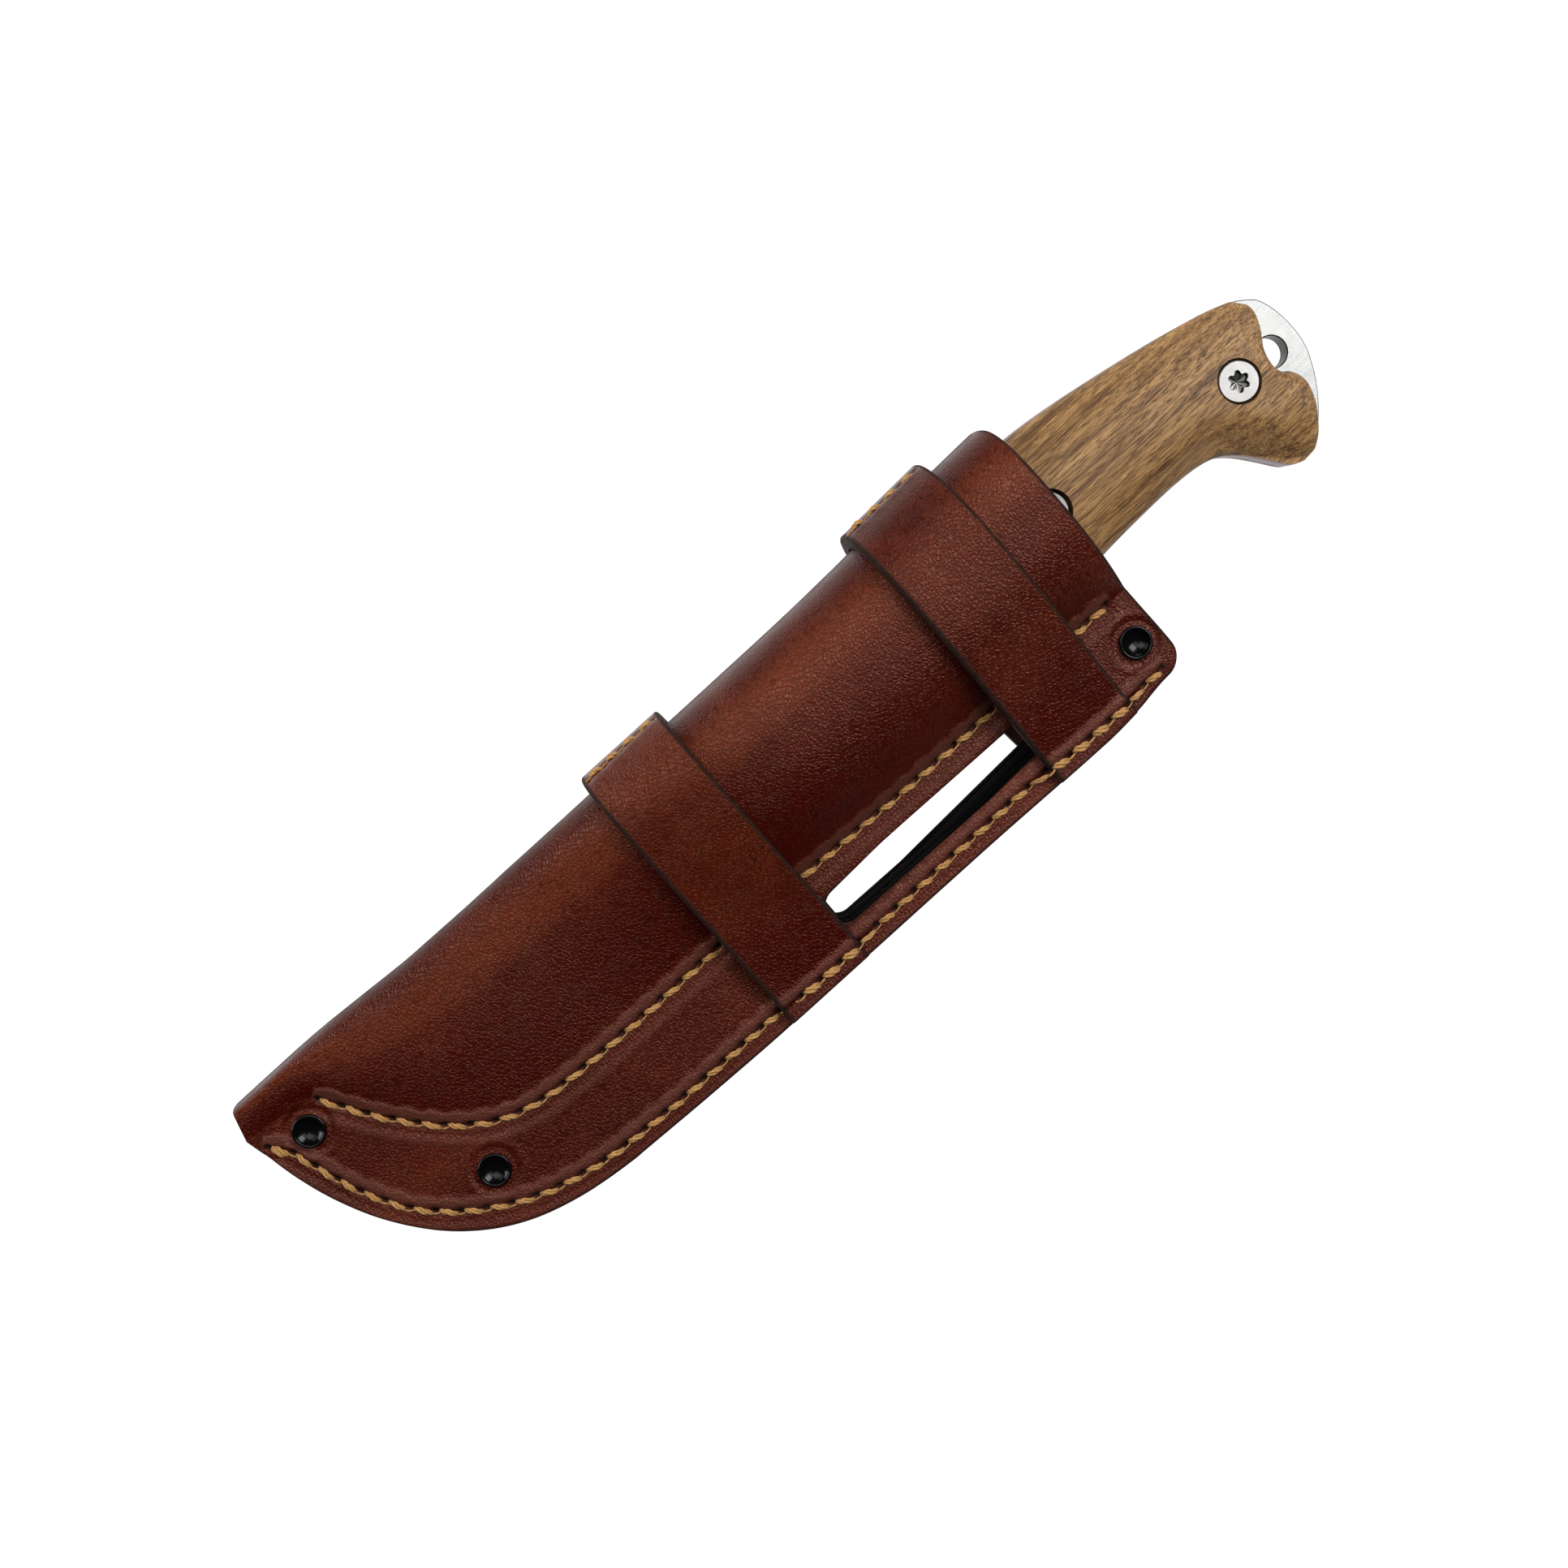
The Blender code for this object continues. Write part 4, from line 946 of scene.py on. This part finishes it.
def make_strap(name, strap, seed):
    """A leather strip with rounded sides and the pull of its seams, and its crest seam's seat."""
    flange_x, fold_x, width = strap
    start_in = np.array((0, 0.12, 0.3, 0.55, 0.9, 1.3))
    across = np.concatenate([start_in, np.linspace(1.9, width - 1.9, 27), (width - start_in)[::-1]])
    paths = [strap_path(flange_x + d) for d in across]
    count = max(len(path) for path in paths)
    paths = np.array([even(path, path_length(path) / (count - 1))[0] for path in paths])
    low, high = paths[0, 0, 0], paths[..., 0].max()
    lean = (fold_x - flange_x) * (paths[..., 0] - low) / (high - low)
    inner = np.stack([flange_x + across[:, None] + lean, paths[..., 0], paths[..., 1]], -1)
    facing = np.stack([side_normals(path) for path in paths])
    normal = np.concatenate([0 * facing[..., :1], facing], -1)

    tip_side = across[:, None] + 0 * lean
    from_side = np.minimum(tip_side, width - tip_side)
    length = np.linalg.norm(np.diff(inner, axis=1), axis=-1).mean(0)
    run = np.concatenate([[0], np.cumsum(length)])[None, :]
    from_end = np.minimum(run, run.max() - run)
    lift = crest_relief(inner, fold_x, width)
    lift -= edge_rounding(from_side, 0.55) + edge_rounding(from_end, 0.5)
    near_flange = (np.abs(inner[..., 2]) < FLANGE + 3.5) & (inner[..., 1] < -46)
    lift += 1.1 * near_flange * edge_seam.relief(inner[..., :2])
    shift = inner + seed * 17.0
    lift += 0.16 * rough(shift, 14.0) + 0.03 * rough(shift, 4.5, 2.0) + 0.012 * rough(shift, 1.4, 5.0)
    outer = inner + normal * (STRAP + np.clip(lift, -1.2, 0.45))[..., None]
    outer[..., 2] = np.maximum(outer[..., 2], -LOOP_DEPTH - STRAP)

    foot_sheen, holes = edge_seam.marks(inner[..., :2])
    # black dyed sides, wider towards the tip, where the black is painted shadow of the gap under the strap
    black_edge_and_shade = np.maximum(1 - ease(from_side, 0.40, 0.85), 1 - ease(tip_side, 0.65, 1.15))
    black_edge_and_shade = np.maximum(black_edge_and_shade, 1 - ease(from_end, 0.2, 0.6))
    # painted shade in the awl holes and painted sheen on the foot's band near the flange
    looks = {"black_edge_and_shade": np.maximum(black_edge_and_shade, near_flange * holes), "press_sheen": near_flange * foot_sheen,
             # painted highlight on the strap near the fold, painted shade towards the flange
             "painted_light_and_tone": (0.75 - 0.3 * seed) * ease(inner[..., 1], -14, -1) - ease(-inner[..., 1], 26, 46)}
    inner_black = np.maximum(1 - ease(from_side, 0.2, 0.9), 0.35)
    piece = leather_shell(name, outer, inner, range(count), strap_leather, looks, inner_black, 50)
    middle = len(across) // 2
    return piece, crest_seat(paths[middle], facing[middle])


def crest_seat(path, normals):
    """Where the crest seam lies on the strap's outside, and the way that it faces."""
    outer = path + normals * STRAP
    k = next(i for i, (y, z) in enumerate(outer) if y > 0 and z < CREST_TOP)
    return outer[k], normals[k]


def crest_relief(inner, fold_x, width):
    """How the crest seam shapes the strap."""
    reach = CREST_STITCHES * CREST_PITCH
    s = inner[..., 0] - fold_x - (width - reach) / 2
    q = inner[..., 2] - CREST_Z
    lift = (0.12 + 0.15 * arch(np.clip(s, 0, reach), CREST_PITCH)) * bump(q - 2.0, 1.0)
    lift -= 0.35 * bump(q, 0.8) + 0.5 * bump(from_hole(s, CREST_PITCH), 0.6) * bump(q - 0.2, 0.6)
    window = ease(s, -1.0, 0.5) * (1 - ease(s, reach - 0.5, reach + 1.0))
    return lift * window * (inner[..., 1] > -2)


# ---- thread

class Cords:
    """Many short tapered strands gathered into one mesh."""

    def __init__(self):
        self.points, self.faces, self.shade = [], [], []

    def strand(self, centres, radii, across, up, shade):
        turn = 2 * np.pi * np.arange(STRAND_SIDES)[:, None] / STRAND_SIDES
        ring = np.cos(turn) * across + np.sin(turn) * up
        self.faces += tube_faces(len(centres), STRAND_SIDES, len(self.points))
        self.points += (centres[:, None] + ring * radii[:, None, None]).reshape(-1, 3).tolist()
        self.shade += np.repeat(shade, STRAND_SIDES).tolist()

    def stitch(self, a, b, up, size, slant=THREAD_SLANT):
        """A fat stitch of three twisted strands from hole a to hole b, standing on the leather."""
        way = (b - a) / np.linalg.norm(b - a)
        left = np.cross(up, way)
        t = np.linspace(0, 1, 15)
        fat = np.sin(np.pi * np.clip(t, 0.02, 0.98))
        start, end = 0.13 + RANDOM.uniform(-0.02, 0.02), 0.86 + RANDOM.uniform(-0.02, 0.02)
        rise = (-0.62 + 0.92 * fat ** 0.42) * size ** 0.5
        stray = slant * (1 - 2 * t) + RANDOM.uniform(-0.05, 0.05)
        centre = a + np.outer(start + (end - start) * t, b - a) + np.outer(stray, left) + np.outer(rise, up)
        first = RANDOM.uniform(0, 2 * np.pi)
        swing = 0.30 * size * fat ** 0.30
        thick = 0.30 * size * (0.62 + 0.38 * fat ** 0.5) * RANDOM.uniform(0.95, 1.08)
        for k in range(3):
            angle = first + 2 * np.pi * (THREAD_TURNS * t + k / 3)
            line = centre + np.outer(1.15 * swing * np.cos(angle), left)
            line += np.outer(0.8 * swing * np.sin(angle), up)
            # painted shade at the stitch's ends, where the strands dive into the holes
            self.strand(line, thick, left, up, 0.55 * (1 - fat ** 0.35))

    def link(self, a, b, up, size=1.0, slant=THREAD_SLANT):
        """The thin strand beside a hole, from one stitch's end to the next one's start."""
        way = (b - a) / np.linalg.norm(b - a)
        left = np.cross(up, way)
        t = np.linspace(0, 1, 7)
        bow = np.sin(np.pi * t)
        line = a + np.outer(2.0 * t - 0.95, way) + np.outer(0.25 * t - 0.12 * bow - slant, left)
        line += np.outer(0.18 * bow - 0.22, up)
        # painted shade, deepest at the link's ends
        self.strand(line, np.full(7, 0.17 * size), left, up, 0.12 + 0.2 * (1 - bow))

    def piece(self, name):
        return outward(add_piece(name, self.points, self.faces, thread_material, {"shade": self.shade}))


def on_strap(x, margin):
    return any(start - margin < x < start + width + margin
               for start, _, width in (STRAP_LOWER, STRAP_UPPER))


def sew(name, seam, side, over_straps=False):
    """All of a seam's stitches on one side of the sheath, fatter on the straps' ends."""
    cords = Cords()
    up = np.array((0, 0, float(side)))
    places = []
    for x, y in map(seam.at, seam.holes):
        strap_high = GAP + STRAP if over_straps and on_strap(x, 0.2) else 0
        places.append(np.array((x, y, side * (FLANGE + strap_high - THREAD_SINK))))
    for k, (a, b) in enumerate(zip(places, places[1:])):
        size = 1.0
        if over_straps and k == 0:
            size = 1.35
        elif over_straps and on_strap((a[0] + b[0]) / 2, 0.5):
            size = 1.30
        cords.stitch(a, b, up, size, THREAD_SLANT * side)
        if k:
            cords.link(a, b, up, size, THREAD_SLANT * side)
    return cords.piece(name)


def sew_crest(name, strap, seat):
    """Four stitches along the strap where it bends round the fold."""
    _, fold_x, width = strap
    (y, z), (ny, nz) = seat
    up = np.array((0, ny, nz))
    first = fold_x + (width - CREST_STITCHES * CREST_PITCH) / 2
    places = [np.array((first + CREST_PITCH * k, y, z)) - 0.25 * up for k in range(CREST_STITCHES + 1)]
    cords = Cords()
    for a, b in zip(places, places[1:]):
        cords.stitch(a, b, up, 1.05)
        cords.link(a, b, up)
    return cords.piece(name)


# ---- rivets

def turned(name, levels, x, y, count, material, sharp, attributes=None):
    """A turned piece from (radius, z) levels; a radius may change round the axis."""
    points = [np.column_stack([circle(x, y, r, count), np.full(count, z)]) for r, z in levels]
    faces = tube_faces(len(levels), count)
    return outward(add_piece(name, np.vstack(points), faces, material, attributes), sharp)


def arc(middle, z, across, high, start, end, count):
    turn = np.radians(np.linspace(start, end, count))
    return [(middle + across * math.cos(t), z + high * math.sin(t)) for t in turn]


def make_rivet(name, x, y):
    """A glossy dished cap with a rolled rim, and the same below, on a shank."""
    dish = [(r, 0.85 * (r / 2.5) ** 2.2 - 0.55) for r in (AXIS, 0.4, 0.8, 1.2, 1.5, 1.8, 2.1, 2.35, 2.5)]
    rim = [(2.54, 0.24)] + arc(2.95, 0.42, 0.36, 0.40, 165, -60, 13)
    under = [(3.0, -0.1), (2.3, -0.1), (1.9, -1.2), (1.9, -4.4), (AXIS, -4.4)]
    made = []
    for kind, side in (("cap", 1), ("base", -1)):
        levels = [(r, side * (FLANGE - 0.05 + z)) for r, z in dish + rim + under]
        made.append(turned("rivet_" + name + "_" + kind + "_fine", levels, x, y, 64, rivet_black, 40))
    return made


# ---- knife

def tang_outline():
    front = np.array([(HEEL_X + 1.0, -0.35), (118, -0.35)])
    body = smooth(HANDLE_TOP + BUTT + HANDLE_UNDER, 14)
    choil = np.array([(119.2, -28.8), (118.2, -30.9), (HEEL_X + 1.0, -30.9)])
    return even(np.vstack([front, body, choil, front[:1]]), 0.6)[0][:-1]


def scale_outline():
    rear = smooth(SCALE_REAR, 10)
    top = smooth(HANDLE_TOP[:-1], 14)
    under = smooth(HANDLE_UNDER, 14)
    under = under[under[:, 0] < 240.0]
    under = under[:next(i for i, p in enumerate(under) if p[0] < 124.3)]
    nose = smooth([(123.9, -28.6), (124.6, -21.0), (125.0, -15.0), (124.9, -8.0), (125.2, -1.6)], 8)
    loop = np.vstack([top[top[:, 0] > 126], rear, under, nose])
    return even(np.vstack([loop, loop[:1]]), 0.5)[0][:-1]


def crown_height(points):
    table = np.array(CROWN)
    middle, half, thick = (np.interp(points[:, 0], table[:, 0], table[:, k]) for k in (1, 2, 3))
    share = np.clip(np.abs(points[:, 1] - middle) / half, 0, 0.999)
    return thick * np.sqrt(1 - share ** 2)


def scale_height(points, from_edge, side):
    """The crown of a scale, eased at its edge, hollowed before the beak and at the lanyard hole."""
    x, y = points.T
    hollow = ease(x, 206, 228) * (1 - ease(x, 236, 243)) * ease(-y, 20, 27)
    lobe = bump(np.hypot(x - 246.6, y + 26.6), 2.2)
    height = crown_height(points) - 2.6 * hollow * (1 - ease(from_edge, 0, 7.5))
    height -= 0.8 * edge_rounding(from_edge, 1.5) + 1.5 * lobe * (1 - ease(from_edge, 0, 2.2))
    height = np.maximum(height, SCALE_FOOT + 0.8)
    return height + 0.03 * rough(np.column_stack([points, height]), 6.0, 2.0 + side)


def make_scale(name, side):
    """A walnut scale: a crowned front, a flat back, and a stepped seat for each bolt."""
    outline = scale_outline()
    seats = [circle(x, y, BOLT_SEAT, 72) for x, y in BOLTS]
    holes = [circle(x, y, BOLT_SLEEVE + GAP, 72) for x, y in BOLTS]
    rings = []
    for depth in (0.15, 0.35, 0.6, 0.9, 1.25, 1.7, 2.2, 2.8, 3.5):
        ring = shrink(outline, depth)
        ring = ring[distance_to(ring, outline) > depth * 0.93]
        rings.append(ring[inside(ring, outline)])
    extra = np.vstack(rings)
    for seat in seats:
        extra = extra[~inside(extra, seat) & (distance_to(extra, seat) > 0.3)]
    points, faces, sizes = fill([outline] + seats, 0.85, extra)
    height = scale_height(points, distance_to(points, outline), side)
    verts = [np.column_stack([points, side * height])]

    def add_loop(loop, z):
        """Add a loop of points at a height, and give their numbers."""
        start = sum(map(len, verts))
        verts.append(np.column_stack([loop, np.full(len(loop), side * z)]))
        return start + np.arange(len(loop))

    seat_z = BOLT_TOP - BOLT_HEAD_DEPTH - GAP
    rims = [end - size + np.arange(size) for size, end in zip(sizes, np.cumsum(sizes))]
    faces += wall(rims[0], add_loop(outline, SCALE_FOOT))
    for rim, seat, hole in zip(rims[1:], seats, holes):
        levels = [rim, add_loop(seat, seat_z), add_loop(hole, seat_z), add_loop(hole, SCALE_FOOT)]
        for upper, lower in zip(levels, levels[1:]):
            faces += wall(upper, lower)
    back, back_faces, _ = fill([outline] + holes, 2.5)
    start = add_loop(back, SCALE_FOOT)[0]
    faces += [[start + a for a in t] for t in back_faces]
    piece = add_piece(name, np.vstack(verts), faces, walnut)
    rework(piece, lambda bm: bmesh.ops.remove_doubles(bm, verts=bm.verts, dist=WELD * MM))
    return outward(piece, 40)


def make_liner(name, side):
    low = STEEL / 2 + FLAT_GAP
    bottom, top = sorted((side * low, side * (low + LINER + FLAT_GAP)))
    holes = [circle(x, y, BOLT_SLEEVE + GAP, 32) for x, y in BOLTS]
    return flat_piece(name, scale_outline(), holes, bottom, top, liner_red, 4.0)


def make_steel_piece():
    """The tang with its drilled holes, and the ground blade growing out of it."""
    holes = [circle(x, y, BOLT_SLEEVE + GAP, 32) for x, y in BOLTS] + [circle(*LANYARD, 72)]
    # painted shade on the tang's outer side walls, darkest in the lanyard hole
    tang = flat_piece("blade_and_tang", tang_outline(), holes, -STEEL / 2, STEEL / 2, blade_steel, 3.0,
                      bevel=0.22, painted_steel_shade=[0.55, 0.0, 0.0, 0.0, 1.0])
    spine, edge = profile(BLADE_SPINE), profile(BLADE_EDGE)
    xs = np.concatenate([TIP_X + 0.2 + np.linspace(0, 1, 40) ** 1.6 * 40,
                         np.linspace(60, GRIND_START - 0.5, 50),
                         np.linspace(GRIND_START, GRIND_START + 4.5, 16), [HEEL_X + 1.2]])
    rings = []
    for x in xs:
        top, low = float(spine(x)), float(edge(x))
        thick = (STEEL / 2 - 0.01) * min(1.0, 0.34 + 0.66 * (x - TIP_X) / 34)
        plunge = float(ease(x, GRIND_START, GRIND_START + 4.0))
        keen = 0.30 + (thick - 0.30) * plunge
        grind, bevel = top + (low - top) * 0.34, low + 0.9
        ring = [(top, thick - 0.18), (top - 0.18, thick)]
        ring += [(grind + (bevel - grind) * t, thick + (keen - thick) * t) for t in (0, 0.25, 0.5, 0.75, 1)]
        ring += [(low, 0.04 + (keen - 0.04) * plunge)]
        rings.append([(x, y, z) for y, z in ring] + [(x, y, -z) for y, z in ring[::-1]])
    points = np.array(rings)
    faces = tube_faces(len(points), points.shape[1])
    blade = outward(add_piece("blade_form", points.reshape(-1, 3), faces, blade_steel), 12)
    rework(tang, lambda bm: bm.from_mesh(blade.data))
    bpy.data.objects.remove(blade, do_unlink=True)
    return tang


def make_bolt(number, x, y, kind, side):
    """A flat bolt head with a fine chamfer and a six-lobed socket."""
    count = 144
    turn = 2 * np.pi * np.arange(count) / count
    star = DRIVE_RADIUS * (0.845 + 0.155 * np.cos(6 * turn) - 0.02 * np.cos(12 * turn))
    under = BOLT_TOP - BOLT_HEAD_DEPTH
    floor = BOLT_TOP - DRIVE_DEPTH
    levels = [(AXIS, floor - 0.55), (star * 0.55, floor - 0.1), (star * 0.93, floor),
              (star * 0.985, BOLT_TOP - 0.12)]
    levels += [(r, BOLT_TOP) for r in (star + 0.08, 2.45, 2.9, 3.4, BOLT_HEAD - 0.28)]
    levels += [(BOLT_HEAD - 0.08, BOLT_TOP - 0.12), (BOLT_HEAD, BOLT_TOP - 0.32), (BOLT_HEAD, under),
               (BOLT_SLEEVE, under), (BOLT_SLEEVE, 0.15), (AXIS, 0.15)]
    painted_steel_shade = np.zeros(len(levels))
    # painted shade in the socket
    painted_steel_shade[:4] = SOCKET_SHADE
    return turned("bolt_" + number + "_" + kind + "_fine", [(r, side * z) for r, z in levels], x, y, count,
                  bolt_steel, 30, {"painted_steel_shade": np.repeat(painted_steel_shade, count)})


# ---- assembly

def place_piece(piece, body, slot, *nodes):
    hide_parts(*nodes)
    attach(piece, body)


place_piece(make_panel(), "sheath", "sheath_leather", "sheath_panel")
place_piece(make_welt(), "sheath", "welt_leather", "edge_welt")
for label, strap, seed in (("lower", STRAP_LOWER, 1.0), ("upper", STRAP_UPPER, 2.0)):
    leather_strap, seat = make_strap("leather_strap_" + label, strap, seed)
    place_piece(leather_strap, "sheath", "strap_leather", "strap_" + label)
    crest = sew_crest("stitches_crest_" + label, strap, seat)
    place_piece(crest, "sheath", "thread", "thread_crest_" + label)
for face, side in (("front", 1), ("back", -1)):
    pocket = sew("stitches_pocket_" + face, pocket_seam, side)
    place_piece(pocket, "sheath", "thread", "thread_pocket_" + face)
    edge = sew("stitches_edge_" + face, edge_seam, side, over_straps=True)
    place_piece(edge, "sheath", "thread", "thread_edge_" + face)
for number, x, y in RIVETS:
    for rivet, kind in zip(make_rivet(number, x, y), ("cap", "base")):
        place_piece(rivet, "sheath", "rivet", "rivet_" + number + "_" + kind)
place_piece(make_steel_piece(), "knife", "steel", "blade_tang")
for face, side in (("front", 1), ("back", -1)):
    place_piece(make_scale("walnut_scale_" + face, side), "knife", "walnut", "scale_" + face)
    place_piece(make_liner("fibre_liner_" + face, side), "knife", "liner", "liner_" + face)
for number, (x, y) in zip(("front", "middle", "rear"), BOLTS):
    for kind, side in (("screw", 1), ("nut", -1)):
        bolt = make_bolt(number, x, y, kind, side)
        place_piece(bolt, "knife", "bolt_steel", "bolt_" + number + "_" + kind)


# ---- camera, light and floor

def make_camera():
    tilt, roll = math.radians(CAMERA_TILT), math.radians(CAMERA_ROLL)
    along = Vector((1, 0, 0))
    across = Vector((0, math.cos(tilt), -math.sin(tilt)))
    back = Vector((0, math.sin(tilt), math.cos(tilt)))
    right = math.cos(roll) * along - math.sin(roll) * across
    up = math.sin(roll) * along + math.cos(roll) * across
    data = bpy.data.cameras.new("camera")
    data.sensor_width = SENSOR
    data.lens = SENSOR * FOCAL_WIDTHS
    camera = add_object("camera", data)
    pose = Matrix((right, up, back)).transposed().to_4x4()
    pose.translation = Vector((np.array(VIEW_POINT) + ORIGIN) * MM) + back * CAMERA_REACH * MM
    camera.matrix_world = pose
    bpy.context.scene.camera = camera


def make_light(name, azimuth, elevation, power):
    """A soft box aimed at the middle of the sheath."""
    data = bpy.data.lights.new(name, "AREA")
    data.shape = "SQUARE"
    data.size = BOX_SIZE
    data.energy = power
    light = add_object(name, data)
    turn, rise = math.radians(azimuth), math.radians(elevation)
    way = Vector((math.cos(rise) * math.cos(turn), math.cos(rise) * math.sin(turn), math.sin(rise)))
    light.location = way * BOX_REACH
    light.rotation_mode = "QUATERNION"
    light.rotation_quaternion = (-way).to_track_quat("-Z", "Y")


def make_floor():
    """A wide white floor that glows, just under the object."""
    n = Nodes("floor")
    n.finish(Base_Color=(0.10, 0.10, 0.10, 1), Roughness=0.9, Specular_IOR_Level=0.0,
             Emission_Color=(1, 1, 1, 1), Emission_Strength=1.0)
    mesh = bpy.data.meshes.new("floor")
    corners = ((-1, -1), (1, -1), (1, 1), (-1, 1))
    mesh.from_pydata([(FLOOR_REACH * x, FLOOR_REACH * y, FLOOR_Z) for x, y in corners], [], [(0, 1, 2, 3)])
    mesh.materials.append(n.material)
    add_object("floor", mesh)


def make_world():
    """A sky that fades upwards from a bright horizon."""
    world = bpy.data.worlds.new("studio")
    bpy.context.scene.world = world
    world.use_nodes = True
    tree = world.node_tree
    direction = tree.nodes.new("ShaderNodeTexCoord").outputs["Generated"]
    parts = tree.nodes.new("ShaderNodeSeparateXYZ")
    fade = tree.nodes.new("ShaderNodeMapRange")
    fade.interpolation_type = "SMOOTHSTEP"
    ends = zip(("From Min", "From Max", "To Min", "To Max"), (*SKY_FADE, SKY_LOW, SKY_HIGH))
    for key, value in ends:
        fade.inputs[key].default_value = value
    tree.links.new(direction, parts.inputs[0])
    tree.links.new(parts.outputs["Z"], fade.inputs["Value"])
    tree.links.new(fade.outputs["Result"], tree.nodes["Background"].inputs["Strength"])


make_camera()
make_floor()
make_world()
for soft_box in SOFT_BOXES:
    make_light(*soft_box)
bpy.context.scene.view_settings.view_transform = "Standard"
